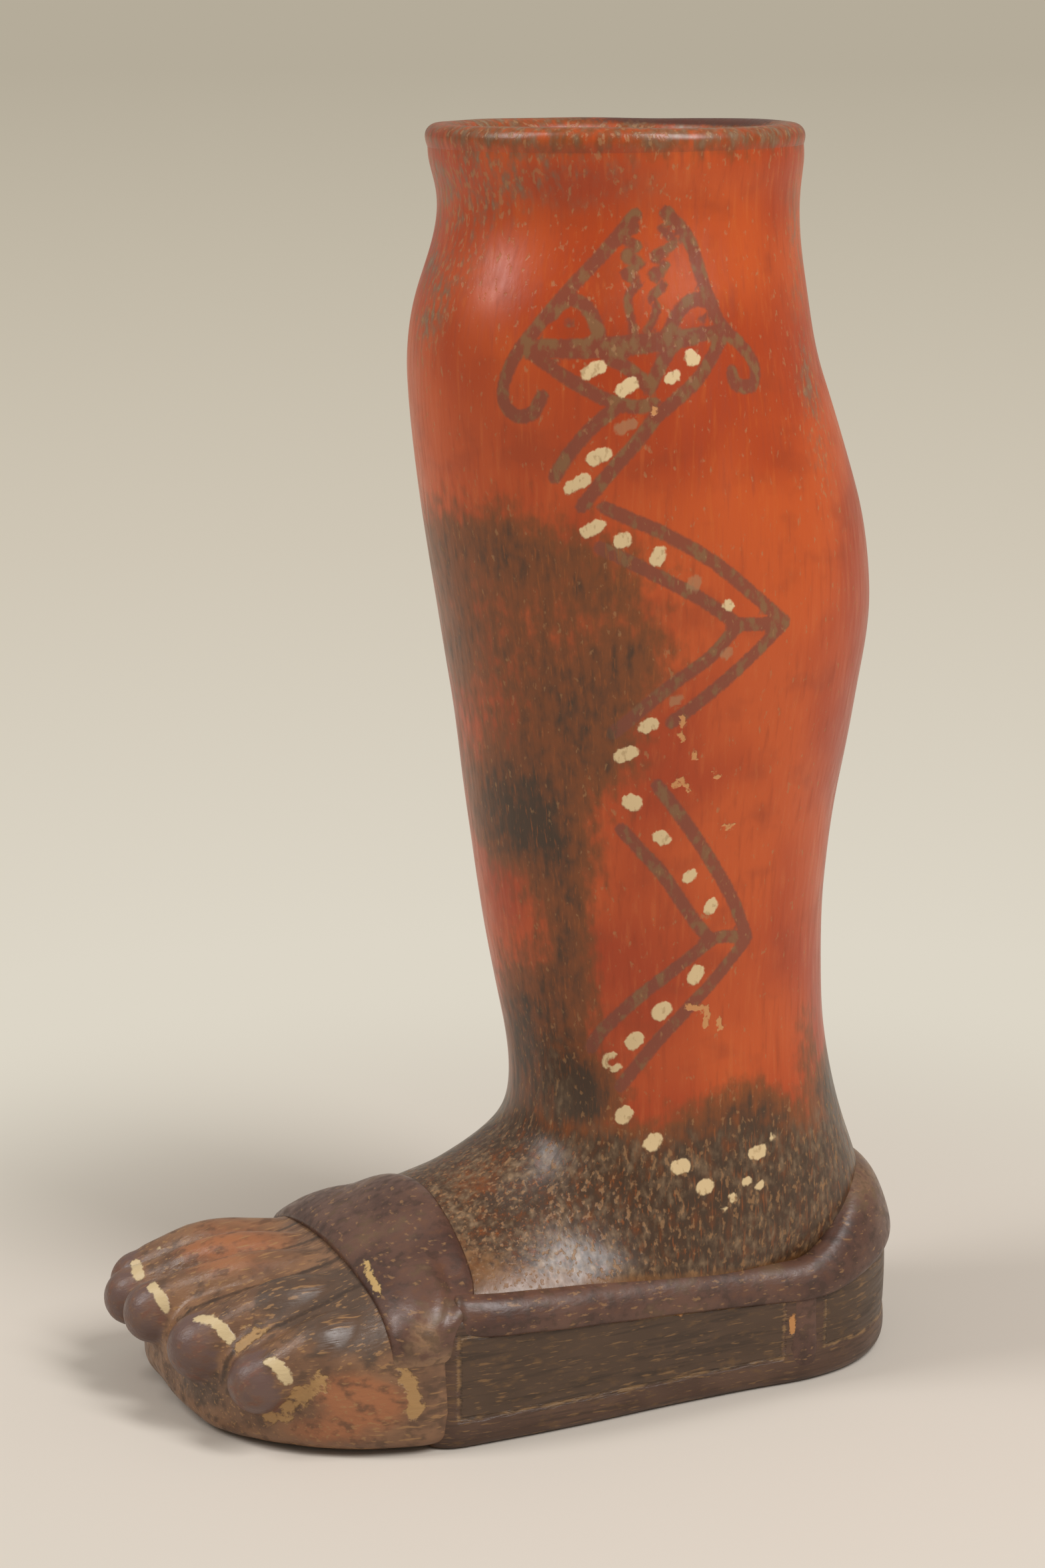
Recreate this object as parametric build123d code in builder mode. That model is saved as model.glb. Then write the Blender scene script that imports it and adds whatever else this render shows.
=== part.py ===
from build123d import *
import os
from math import sqrt

# A drinking cup of hand-built clay in the form of a left leg with a sandalled foot.
# The toes point along +X, the little-toe side is +Y, and the sole stands on z = 0 under the mouth.
# All sizes are in millimetres.

# The leg, from its seat on the foot to the lip. Each section that shapes it has a rise over the one below,
# a centre, a depth from shin to calf and a width, where the ankle is as wide as the heel less an inset.
# The rises add up to a mouth 300 over the floor.
LEG_WALL = 6.5
SEAT_CENTRE = -22.0
SEAT_INSET = 2.0
FLARE_STEPS = 3
ANKLE_HEIGHT = 80.0
ANKLE_CENTRE = -15.0
ANKLE_DEPTH = 79.0
ANKLE_INSET = 1.0
SHIN_RISE = 60.0
SHIN_CENTRE = -10.0
SHIN_DEPTH = 90.0
SHIN_WIDTH = 84.0
CALF_RISE = 62.0
CALF_CENTRE = -9.0
CALF_DEPTH = 105.5
CALF_WIDTH = 99.0
KNEE_RISE = 48.0
KNEE_CENTRE = 1.0
KNEE_DEPTH = 96.0
KNEE_WIDTH = 93.0
NECK_RISE = 32.0
NECK_CENTRE = -1.0
NECK_DEPTH = 84.0
NECK_WIDTH = 84.0
MOUTH_RISE = 7.0
MOUTH_RADIUS = 42.0
LIP_DEPTH = 11.0
LIP_OVERHANG = 1.5
LIP_ROUND = 3.2
LIP_ROUND_SHARE = 0.48

# The scarfed joints between the courses of the leg, by their distance from the nearest section
ANKLE_JOINT_OVER = 8.0
SHIN_JOINT_UNDER = 2.0
CALF_JOINT_UNDER = 14.0
KNEE_JOINT_UNDER = 10.0

# The foot in plan: a round heel, sides that widen to the ball, and two quarter ellipses at the toes
HEEL_CENTRE = -34.0
HEEL_RADIUS = 37.5
BALL_HALF_WIDTH = 47.0
TOE_END = 110.5
TOE_END_SIDE = -12.0
LATERAL_FRONT = 65.5
MEDIAL_FRONT = 22.5

# The foot's slabs
SOLE_THICKNESS = 9.5
SOLE_INSET = 0.5
SOLE_ROUND = 3.0
WALL_TOP = 34.0
FOOT_WALL = 6.0
HEEL_JOINT_LEAD = 4.0

# The instep: height of its crown from the ankle to the front of the toe cap
VAULT_BACK = -14.0
VAULT_BACK_CROWN = 58.0
VAULT_BACK_INSET = 6.0
ANKLE_FRONT = 12.0
ANKLE_FRONT_CROWN = 65.0
INSTEP = 32.0
INSTEP_CROWN = 56.0
STRAP_LINE = 62.0
STRAP_LINE_CROWN = 44.5
KNUCKLE_SETBACK = 18.5
KNUCKLE_CROWN = 32.5
KNUCKLE_SIDE = 22.0
CAP_SETBACK = 3.5
CAP_END_CROWN = 24.0
CAP_END_SIDE = 15.0
THROAT_WIDTH = 40.0
THROAT_TOP = 46.0

# The sandal's raised bands
STRAP_THICKNESS = 2.6
STRAP_BACK = 50.0
STRAP_WIDTH = 24.0
STRAP_END_WIDTH = 16.0
EDGE_STRIP_THICKNESS = 3.0
EDGE_STRIP_WIDTH = 5.0
CORNER_STRIP_THICKNESS = 2.2
CORNER_STRIP_WIDTH = 9.0
BAND_BULGE = 2.2
BAND_SHOULDER = 1.6
BAND_LEAN = 7.0
BAND_RISE = 12.0
BAND_DROP = 10.5
BAND_BULGE_DROP = 5.0

# The toes, each a tapering roll from the strap to a round tip
TOE_PITCH = 16.6
LITTLE_TOE_SIDE = 27.0
TOE_OVERHANG = 4.0
TOE_ROOT_RADIUS = 7.0
TOE_ROOT_PITCH = 14.6
TOE_ROOT_SIDE = 28.5
TOE_ROOT_SINK = 3.8
LITTLE_TOE_SINK = 1.8
LITTLE_TOE_RADIUS = 7.8
LITTLE_TOE_HEIGHT = 17.6
FOURTH_TOE_HEIGHT = 19.0
MIDDLE_TOE_RADIUS = 8.0
MIDDLE_TOE_HEIGHT = 20.5
BIG_TOE_RADIUS = 9.4
BIG_TOE_HEIGHT = 18.5

# Places that follow from the sizes above
shin_height = ANKLE_HEIGHT + SHIN_RISE
calf_height = shin_height + CALF_RISE
knee_height = calf_height + KNEE_RISE
neck_height = knee_height + NECK_RISE
lip_base = neck_height + MOUTH_RISE
lateral_ball = TOE_END - LATERAL_FRONT
medial_ball = TOE_END - MEDIAL_FRONT
knuckles = TOE_END - KNUCKLE_SETBACK
cap_end = TOE_END - CAP_SETBACK
heel_joint = HEEL_CENTRE + HEEL_JOINT_LEAD
ankle_joint = ANKLE_HEIGHT + ANKLE_JOINT_OVER
shin_joint = shin_height - SHIN_JOINT_UNDER
calf_joint = calf_height - CALF_JOINT_UNDER
knee_joint = knee_height - KNEE_JOINT_UNDER
strap_front = STRAP_BACK + STRAP_WIDTH
strap_end_back = strap_front - STRAP_END_WIDTH
far = 2.0 * lip_base

os.makedirs("parts", exist_ok=True)


def finish(piece, name):
    piece.part.label = name
    export_step(piece.part, f"parts/{name}.step")


def between(low, high, share):
    return low + (high - low) * share


def eased(low, high, share):
    return between(low, high, share * share * (3.0 - 2.0 * share))


# Plan of the foot: half widths on the little-toe side and on the big-toe side, and its front


def side_edge(x, ball, sign):
    """Y of the foot's edge at x, on the side given by sign (1 lateral, -1 medial)."""
    if x <= ball:
        return sign * eased(HEEL_RADIUS, BALL_HALF_WIDTH, (x - HEEL_CENTRE) / (ball - HEEL_CENTRE))
    along = (x - ball) / (TOE_END - ball)
    reach = sign * BALL_HALF_WIDTH - TOE_END_SIDE
    return TOE_END_SIDE + reach * sqrt(1.0 - along * along)


def front_edge(y):
    """X of the foot's front edge at y."""
    ball = lateral_ball if y > TOE_END_SIDE else medial_ball
    reach = BALL_HALF_WIDTH - TOE_END_SIDE if y > TOE_END_SIDE else BALL_HALF_WIDTH + TOE_END_SIDE
    across = (y - TOE_END_SIDE) / reach
    return ball + (TOE_END - ball) * sqrt(1.0 - across * across)


def foot_block(growth, low, high):
    """The foot's plan, grown on every side, as a block from one height to another."""
    heel = HEEL_RADIUS + growth
    half = BALL_HALF_WIDTH + growth
    front = TOE_END + growth
    lateral_third = (lateral_ball - HEEL_CENTRE) / 3.0
    medial_third = (medial_ball - HEEL_CENTRE) / 3.0
    with BuildPart() as block:
        with BuildSketch(Plane.XY.offset(low)):
            with BuildLine():
                CenterArc((HEEL_CENTRE, 0), heel, 90, arc_size=180)
                Bezier(
                    (HEEL_CENTRE, -heel),
                    (HEEL_CENTRE + medial_third, -heel),
                    (medial_ball - medial_third, -half),
                    (medial_ball, -half),
                )
                EllipticalCenterArc(
                    (medial_ball, TOE_END_SIDE),
                    front - medial_ball,
                    half + TOE_END_SIDE,
                    270,
                    arc_size=90,
                )
                EllipticalCenterArc(
                    (lateral_ball, TOE_END_SIDE),
                    front - lateral_ball,
                    half - TOE_END_SIDE,
                    0,
                    arc_size=90,
                )
                Bezier(
                    (lateral_ball, half),
                    (lateral_ball - lateral_third, half),
                    (HEEL_CENTRE + lateral_third, heel),
                    (HEEL_CENTRE, heel),
                )
            make_face()
        extrude(amount=high - low)
    return block.part


# Sections of the instep and toe cap along the foot: place, inset, height of the sides, crown

instep_sections = [
    (VAULT_BACK, VAULT_BACK_INSET, WALL_TOP, VAULT_BACK_CROWN),
    (ANKLE_FRONT, 0.0, WALL_TOP, ANKLE_FRONT_CROWN),
    (INSTEP, 0.0, WALL_TOP, INSTEP_CROWN),
    (STRAP_LINE, 0.0, WALL_TOP, STRAP_LINE_CROWN),
    (knuckles, 0.0, KNUCKLE_SIDE, KNUCKLE_CROWN),
    (cap_end, 0.0, CAP_END_SIDE, CAP_END_CROWN),
]


def instep_form(growth):
    """The arched instep and toe cap as a solid, grown by a thickness on its sides and top."""
    with BuildPart() as form:
        for x, inset, side, crown in instep_sections:
            left = side_edge(x, lateral_ball, 1) - inset + growth
            right = side_edge(x, medial_ball, -1) + inset - growth
            with BuildSketch(Plane.YZ.offset(x)):
                with BuildLine():
                    ThreePointArc((right, side), ((left + right) / 2.0, crown + growth), (left, side))
                    Polyline((left, side), (left, SOLE_THICKNESS), (right, SOLE_THICKNESS), (right, side))
                make_face()
        loft()
    return form.part


def crown_at(x, y):
    """Height of the toe cap over a point behind the knuckles."""
    share = (x - STRAP_LINE) / (knuckles - STRAP_LINE)
    side = between(WALL_TOP, KNUCKLE_SIDE, share)
    crown = between(STRAP_LINE_CROWN, KNUCKLE_CROWN, share)
    left = side_edge(x, lateral_ball, 1)
    right = side_edge(x, medial_ball, -1)
    across = (2.0 * y - left - right) / (left - right)
    return between(crown, side, across * across)


# Sections of the leg from its seat on the foot to the mouth: height, centre, half depth, half width

ankle = (ANKLE_HEIGHT, ANKLE_CENTRE, ANKLE_DEPTH / 2.0, HEEL_RADIUS - ANKLE_INSET)
seat = (
    WALL_TOP,
    SEAT_CENTRE,
    SEAT_CENTRE - (HEEL_CENTRE - HEEL_RADIUS) - SEAT_INSET,
    side_edge(SEAT_CENTRE, lateral_ball, 1) - SEAT_INSET / 2.0,
)
flare = []
for step in range(1, FLARE_STEPS):
    rise = step / FLARE_STEPS
    spread = (1.0 - rise) ** 2
    sizes = [between(slim, wide, spread) for slim, wide in zip(ankle[1:], seat[1:])]
    flare.append((between(WALL_TOP, ANKLE_HEIGHT, rise), *sizes))
leg_sections = [
    seat,
    *flare,
    ankle,
    (shin_height, SHIN_CENTRE, SHIN_DEPTH / 2.0, SHIN_WIDTH / 2.0),
    (calf_height, CALF_CENTRE, CALF_DEPTH / 2.0, CALF_WIDTH / 2.0),
    (knee_height, KNEE_CENTRE, KNEE_DEPTH / 2.0, KNEE_WIDTH / 2.0),
    (neck_height, NECK_CENTRE, NECK_DEPTH / 2.0, NECK_WIDTH / 2.0),
    (lip_base, 0.0, MOUTH_RADIUS, MOUTH_RADIUS),
]


def leg_form(growth):
    """The leg as a solid, its sections grown by a thickness."""
    with BuildPart() as form:
        for height, centre, half_depth, half_width in leg_sections:
            with BuildSketch(Plane((centre, 0, height))):
                Ellipse(half_depth + growth, half_width + growth)
        loft()
    return form.part


def below_joint(height):
    """Everything under a scarfed joint: a cone whose slope carries the next course outside the lower one."""
    lower = max(row for row in leg_sections if row[0] <= height)
    upper = min(row for row in leg_sections if row[0] > height)
    share = (height - lower[0]) / (upper[0] - lower[0])
    centre, half_depth = (between(lower[i], upper[i], share) for i in (1, 2))
    middle = half_depth - LEG_WALL / 2.0
    with BuildPart() as cone:
        with Locations((centre, 0, 0)):
            Cone(height + middle, 0, height + middle, align=(Align.CENTER, Align.CENTER, Align.MIN))
    return cone.part


leg_outside = leg_form(0.0)
leg_inside = leg_form(-LEG_WALL)
instep_outside = instep_form(0.0)
with BuildPart() as hollow:
    add(instep_form(-FOOT_WALL))
    split(bisect_by=Plane.YZ.offset(cap_end - FOOT_WALL), keep=Keep.BOTTOM)
instep_inside = hollow.part
wall_outside = foot_block(0.0, SOLE_THICKNESS, WALL_TOP)
wall_inside = foot_block(-FOOT_WALL, SOLE_THICKNESS, WALL_TOP)

# Sole

with BuildPart() as sole_slab:
    add(foot_block(-SOLE_INSET, 0.0, SOLE_THICKNESS))
    fillet(sole_slab.faces().sort_by(Axis.Z)[0].edges(), SOLE_ROUND)
finish(sole_slab, "sole_slab")

# Upright walls of the foot, butted at the heel corners and against the toe cap

with BuildPart() as heel_wall:
    add(wall_outside)
    add(wall_inside, mode=Mode.SUBTRACT)
    split(bisect_by=Plane.YZ.offset(heel_joint), keep=Keep.BOTTOM)
finish(heel_wall, "heel_wall")

for side_name, kept_side in (("lateral", Keep.BOTTOM), ("medial", Keep.TOP)):
    with BuildPart() as side_wall:
        add(wall_outside)
        add(wall_inside, mode=Mode.SUBTRACT)
        split(bisect_by=Plane.YZ.offset(heel_joint), keep=Keep.TOP)
        split(bisect_by=Plane.YZ.offset(strap_end_back), keep=Keep.BOTTOM)
        split(bisect_by=Plane.XZ, keep=kept_side)
    finish(side_wall, f"{side_name}_wall")

# Arched instep, let into the front of the ankle, and the toe cap that closes the foot

with BuildPart() as instep_vault:
    add(instep_outside)
    add(instep_inside, mode=Mode.SUBTRACT)
    split(bisect_by=Plane.XY.offset(WALL_TOP), keep=Keep.TOP)
    split(bisect_by=Plane.YZ.offset(strap_end_back), keep=Keep.BOTTOM)
    add(leg_outside, mode=Mode.SUBTRACT)
finish(instep_vault, "instep_vault")

with BuildPart() as toe_cap:
    add(instep_outside)
    add(instep_inside, mode=Mode.SUBTRACT)
    split(bisect_by=Plane.YZ.offset(strap_end_back), keep=Keep.TOP)
finish(toe_cap, "toe_cap")

# Courses of the leg

course_joints = [
    ("ankle_course", None, ankle_joint),
    ("shin_course", ankle_joint, shin_joint),
    ("calf_course", shin_joint, calf_joint),
    ("knee_course", calf_joint, knee_joint),
    ("mouth_course", knee_joint, None),
]
for name, foot_joint, head_joint in course_joints:
    under = below_joint(foot_joint) if foot_joint else None
    over = below_joint(head_joint) if head_joint else None
    with BuildPart() as course:
        add(leg_outside)
        add(leg_inside, mode=Mode.SUBTRACT)
        if over:
            add(over, mode=Mode.INTERSECT)
        if under:
            add(under, mode=Mode.SUBTRACT)
        if not under:
            # The throat through which the drink runs on into the foot
            with BuildSketch(Plane.YZ.offset(SEAT_CENTRE)):
                with Locations((0, WALL_TOP)):
                    Rectangle(THROAT_WIDTH, 2.0 * (THROAT_TOP - WALL_TOP))
            extrude(amount=far, mode=Mode.SUBTRACT)
    finish(course, name)

lip_width = LEG_WALL + LIP_OVERHANG
with BuildPart() as rim_coil:
    with BuildSketch(Plane.XZ):
        with Locations((MOUTH_RADIUS - LEG_WALL, lip_base)):
            Rectangle(lip_width, LIP_DEPTH, align=(Align.MIN, Align.MIN))
        fillet(vertices().group_by(Axis.Y)[-1], min(LIP_ROUND, LIP_ROUND_SHARE * lip_width))
    revolve(axis=Axis.Z)
finish(rim_coil, "rim_coil")

# Raised bands of the sandal

strap_over = instep_form(STRAP_THICKNESS)
with BuildPart() as instep_strap:
    add(strap_over)
    add(instep_outside, mode=Mode.SUBTRACT)
    split(bisect_by=Plane.YZ.offset(STRAP_BACK), keep=Keep.TOP)
    split(bisect_by=Plane.YZ.offset(strap_front), keep=Keep.BOTTOM)
    with BuildSketch(Plane.XY.offset(SOLE_THICKNESS)):
        with Locations((strap_end_back, 0)):
            Rectangle(far, far, align=(Align.MAX, Align.CENTER))
    extrude(amount=WALL_TOP - SOLE_THICKNESS, mode=Mode.SUBTRACT)
finish(instep_strap, "instep_strap")

strip_bottom = WALL_TOP - EDGE_STRIP_WIDTH
band_end = heel_joint - CORNER_STRIP_WIDTH / 2.0
edge_strip_block = foot_block(EDGE_STRIP_THICKNESS, strip_bottom, WALL_TOP)
corner_strip_block = foot_block(CORNER_STRIP_THICKNESS, SOLE_THICKNESS, strip_bottom)
for side_name, kept_side in (("lateral", Keep.BOTTOM), ("medial", Keep.TOP)):
    with BuildPart() as edge_strip:
        add(edge_strip_block)
        add(wall_outside, mode=Mode.SUBTRACT)
        split(bisect_by=Plane.YZ.offset(band_end), keep=Keep.TOP)
        split(bisect_by=Plane.YZ.offset(strap_end_back), keep=Keep.BOTTOM)
        split(bisect_by=Plane.XZ, keep=kept_side)
    finish(edge_strip, f"{side_name}_edge_strip")
    with BuildPart() as corner_strip:
        add(corner_strip_block)
        add(wall_outside, mode=Mode.SUBTRACT)
        split(bisect_by=Plane.YZ.offset(band_end), keep=Keep.TOP)
        split(bisect_by=Plane.YZ.offset(band_end + CORNER_STRIP_WIDTH), keep=Keep.BOTTOM)
        split(bisect_by=Plane.XZ, keep=kept_side)
    finish(corner_strip, f"{side_name}_corner_strip")

heel_back = HEEL_CENTRE - HEEL_RADIUS - BAND_BULGE
band_top = WALL_TOP + BAND_RISE
band_bottom = WALL_TOP - BAND_DROP
with BuildPart() as heel_band:
    with BuildSketch(Plane.XZ.shift_origin((HEEL_CENTRE, 0, 0))):
        with BuildLine():
            outer = Spline(
                (HEEL_RADIUS, band_bottom),
                (HEEL_RADIUS + BAND_BULGE, WALL_TOP - BAND_BULGE_DROP),
                (HEEL_RADIUS + BAND_SHOULDER, WALL_TOP),
                (HEEL_RADIUS - BAND_LEAN, band_top),
            )
            Polyline(outer @ 1, (0, band_top), (0, band_bottom), outer @ 0)
        make_face()
    revolve(axis=Axis((HEEL_CENTRE, 0, 0), (0, 0, 1)))
    with BuildSketch(Plane.XZ):
        with BuildLine():
            Polyline(
                (band_end, strip_bottom),
                (band_end, WALL_TOP),
                (heel_back, band_top),
                (heel_back, band_bottom),
                close=True,
            )
        make_face()
    extrude(amount=far, both=True, mode=Mode.INTERSECT)
    add(wall_outside, mode=Mode.SUBTRACT)
    add(leg_outside, mode=Mode.SUBTRACT)
finish(heel_band, "heel_band")

# Toes, from the little toe to the big toe

toes = [
    ("little_toe", LITTLE_TOE_RADIUS, LITTLE_TOE_HEIGHT, LITTLE_TOE_SINK),
    ("fourth_toe", MIDDLE_TOE_RADIUS, FOURTH_TOE_HEIGHT, TOE_ROOT_SINK),
    ("third_toe", MIDDLE_TOE_RADIUS, MIDDLE_TOE_HEIGHT, TOE_ROOT_SINK),
    ("second_toe", MIDDLE_TOE_RADIUS, MIDDLE_TOE_HEIGHT, TOE_ROOT_SINK),
    ("big_toe", BIG_TOE_RADIUS, BIG_TOE_HEIGHT, TOE_ROOT_SINK),
]
made_toes = []
for place, (name, radius, height, sink) in enumerate(toes):
    root_y = TOE_ROOT_SIDE - place * TOE_ROOT_PITCH
    tip_y = LITTLE_TOE_SIDE - place * TOE_PITCH
    root = Vector(strap_front - TOE_ROOT_RADIUS, root_y, crown_at(strap_front, root_y) - sink)
    tip = Vector(front_edge(tip_y) + TOE_OVERHANG, tip_y, height)
    along = tip - root
    with BuildPart() as toe:
        with BuildSketch(Plane(root, x_dir=along, z_dir=along.cross(Vector(0, 0, 1)))):
            with BuildLine():
                flank = Line((0, TOE_ROOT_RADIUS), (along.length, radius))
                RadiusArc(flank @ 1, (along.length + radius, 0), radius)
                Polyline((along.length + radius, 0), (0, 0), flank @ 0)
            make_face()
        revolve(axis=Axis(root, along))
        split(bisect_by=Plane.YZ.offset(strap_front), keep=Keep.TOP)
        add([instep_outside, sole_slab.part, *made_toes], mode=Mode.SUBTRACT)
    made_toes.append(toe.part)
    finish(toe, name)
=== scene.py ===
# %% [markdown]
# # A drinking cup in the form of a leg
# The cup is coiled and slab-built clay, covered with coloured slip, burnished with a pebble and fired in
# the open. Everything here is written in millimetres, because a potter would measure it so, and each
# finished mesh is scaled to metres once. The solids of the cup are loaded first, as the frame that the
# looks keep to.

# %% Load the frame
import math
from types import SimpleNamespace

import bmesh
import bpy
import numpy as np
from mathutils import Matrix, Vector, noise
from mathutils.bvhtree import BVHTree


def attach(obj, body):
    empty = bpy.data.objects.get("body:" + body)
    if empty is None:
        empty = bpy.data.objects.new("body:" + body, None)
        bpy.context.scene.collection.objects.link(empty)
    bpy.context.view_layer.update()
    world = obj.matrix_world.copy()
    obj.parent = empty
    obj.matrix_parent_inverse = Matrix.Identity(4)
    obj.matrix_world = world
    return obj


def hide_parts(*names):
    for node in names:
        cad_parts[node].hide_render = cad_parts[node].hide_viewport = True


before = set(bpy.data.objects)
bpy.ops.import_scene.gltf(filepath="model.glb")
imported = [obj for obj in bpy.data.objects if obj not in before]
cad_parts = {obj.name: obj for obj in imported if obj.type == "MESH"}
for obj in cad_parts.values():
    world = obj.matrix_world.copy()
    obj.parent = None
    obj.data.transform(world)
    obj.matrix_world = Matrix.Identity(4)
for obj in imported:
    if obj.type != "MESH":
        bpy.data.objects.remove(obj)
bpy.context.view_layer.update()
MM = 0.001
UP = Vector((0.0, 0.0, 1.0))

# %% [markdown]
# # The camera
# The photograph was taken from a little above the mouth and well to the little-toe side. The camera could
# be aimed with a Track To constraint, but then its tilt would be hidden in the constraint. Here its three
# directions are written out, because the same directions later carry painted marks from the picture to the
# clay.

# %% Place the camera
PHOTO_WIDTH, PHOTO_HEIGHT = 1568, 2353
VIEW_ANGLE = math.radians(25.0)
CAMERA_AROUND = math.radians(24.0)
CAMERA_AWAY, CAMERA_HEIGHT = 830.0, 325.0
CAMERA_DOWN = math.radians(12.33)
CAMERA_TURN = math.radians(1.48)
SENSOR = 36.0

to_camera = Vector((math.sin(CAMERA_AROUND), math.cos(CAMERA_AROUND), 0.0))
to_right = Vector((-to_camera.y, to_camera.x, 0.0))
camera_place = to_camera * CAMERA_AWAY + UP * CAMERA_HEIGHT
level_sight = -to_camera * math.cos(CAMERA_TURN) - to_right * math.sin(CAMERA_TURN)
camera_right = to_right * math.cos(CAMERA_TURN) - to_camera * math.sin(CAMERA_TURN)
camera_sight = level_sight * math.cos(CAMERA_DOWN) - UP * math.sin(CAMERA_DOWN)
camera_up = UP * math.cos(CAMERA_DOWN) + level_sight * math.sin(CAMERA_DOWN)
pixels_to_sensor = PHOTO_HEIGHT / 2.0 / math.tan(VIEW_ANGLE / 2.0)

camera_data = bpy.data.cameras.new("camera")
camera_data.sensor_width = SENSOR
camera_data.lens = SENSOR / 2.0 / math.tan(VIEW_ANGLE / 2.0)
camera_data.clip_start, camera_data.clip_end = 0.05, 100.0
camera = bpy.data.objects.new("camera", camera_data)
bpy.context.scene.collection.objects.link(camera)
turned = Matrix((camera_right, camera_up, -camera_sight)).transposed().to_4x4()
camera.matrix_world = Matrix.Translation(camera_place * MM) @ turned
bpy.context.scene.camera = camera
print("camera at", [round(x) for x in camera_place], "mm, lens", round(camera_data.lens, 1), "mm")

# %% [markdown]
# # Rings of clay
# Nearly every part of the cup was made by adding rings or rolls of clay, so one way of working serves for
# all: `create_circle` lays a ring, a matrix leans and stretches it to its place, and `bridge_loops` closes
# the wall between one ring and the next.


# %% Helpers for rings and walls
def ring(bm, middle, along, across, segments=32, squareness=1.0):
    """A ring of edges about a middle, reaching out by two half axes. Squareness over 1 flattens its sides."""
    verts = bmesh.ops.create_circle(bm, segments=segments, radius=1.0)["verts"]
    for v in verts:
        for axis in (0, 1):
            v.co[axis] = math.copysign(abs(v.co[axis]) ** (1.0 / squareness), v.co[axis])
    out = along.cross(across).normalized()
    place = Matrix((along, across, out)).transposed().to_4x4()
    bmesh.ops.transform(bm, matrix=Matrix.Translation(middle) @ place, verts=verts)
    return list({edge for v in verts for edge in v.link_edges})


def wall(bm, rings, start_closed=True, end_closed=True):
    """The wall through a row of rings, with its ends filled."""
    for lower, upper in zip(rings, rings[1:]):
        bmesh.ops.bridge_loops(bm, edges=lower + upper)
    for edges, closed in ((rings[0], start_closed), (rings[-1], end_closed)):
        if closed:
            bmesh.ops.edgeloop_fill(bm, edges=edges)


def filled_in(rows, step):
    """Rows of measures with more rows between them, on a smooth curve and about a step apart."""
    keys = np.array([rows[0], *rows, rows[-1]], float)
    keys[0], keys[-1] = 2.0 * keys[1] - keys[2], 2.0 * keys[-2] - keys[-3]
    made = []
    for before, start, end, after in zip(keys, keys[1:], keys[2:], keys[3:]):
        count = max(1, round(float(np.abs(end - start)[:4].max()) / step))
        for t in np.arange(count) / count:
            bend = 2.0 * before - 5.0 * start + 4.0 * end - after
            twist = 3.0 * start - before - 3.0 * end + after
            made.append(start + 0.5 * t * (end - before + t * (bend + t * twist)))
    return [*made, keys[-2]]


print("three measures between 0 and 2:", [float(row[0]) for row in filled_in([(0.0,), (2.0,)], 1.0)])

# %% [markdown]
# # From bmesh to clay
# A shape that is done becomes a piece: its mesh is scaled to metres, and a Subdivision Surface rounds it as
# a wet hand would. The modifier is made real at once, because the paint later goes on the vertices that it
# adds. No hand leaves a true circle, so noise presses the piece in and out a little. A Displace modifier
# could do so too, but this keeps the size of the dents in plain millimetres.


# %% Helpers for finished pieces
def make_real(piece):
    """Puts what the modifiers make into the piece's own mesh."""
    seen = piece.evaluated_get(bpy.context.evaluated_depsgraph_get())
    piece.data = bpy.data.meshes.new_from_object(seen)
    piece.modifiers.clear()


def clay_piece(bm, name, levels):
    """A piece of clay from a bmesh in millimetres, rounded by so many levels of subdivision."""
    bmesh.ops.recalc_face_normals(bm, faces=bm.faces)
    bmesh.ops.scale(bm, vec=(MM, MM, MM), verts=bm.verts)
    mesh = bpy.data.meshes.new(name)
    bm.to_mesh(mesh)
    bm.free()
    piece = bpy.data.objects.new(name, mesh)
    bpy.context.scene.collection.objects.link(piece)
    if levels:
        rounding = piece.modifiers.new("rounding", "SUBSURF")
        rounding.levels = rounding.render_levels = levels
        make_real(piece)
    piece.data.shade_smooth()
    return piece


def places(piece):
    """The piece's vertices in millimetres, one row each."""
    flat = np.zeros(len(piece.data.vertices) * 3)
    piece.data.vertices.foreach_get("co", flat)
    return flat.reshape(-1, 3) / MM


def move_to(piece, spots):
    """Puts the piece's vertices at rows of millimetres."""
    piece.data.vertices.foreach_set("co", (spots * MM).ravel())
    piece.data.update()


def swirls(spots, size):
    """A number from about -1 to 1 for each spot, changing smoothly over lengths of a size."""
    return np.array([noise.noise(Vector(spot) / size) for spot in spots])


def hand_made(piece, depth, width):
    """Presses the piece in and out a little along its normals, as fingers leave clay."""
    normals = np.zeros(len(piece.data.vertices) * 3)
    piece.data.vertices.foreach_get("normal", normals)
    spots = places(piece)
    move_to(piece, spots + normals.reshape(-1, 3) * swirls(spots, width)[:, None] * depth)


print("millimetres are scaled by", MM)

# %% [markdown]
# # The leg
# The leg was raised from the foot in coiled courses and thinned by scraping, so its outside is one smooth
# skin. Each ring is known by the point at its back, the point at its front and its half width. Down to the
# ankle the rings lie level. Below it they lean more and more, until they stand nearly upright across the
# foot, as the rings of a sock do. That gives an instep without any seam.

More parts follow.
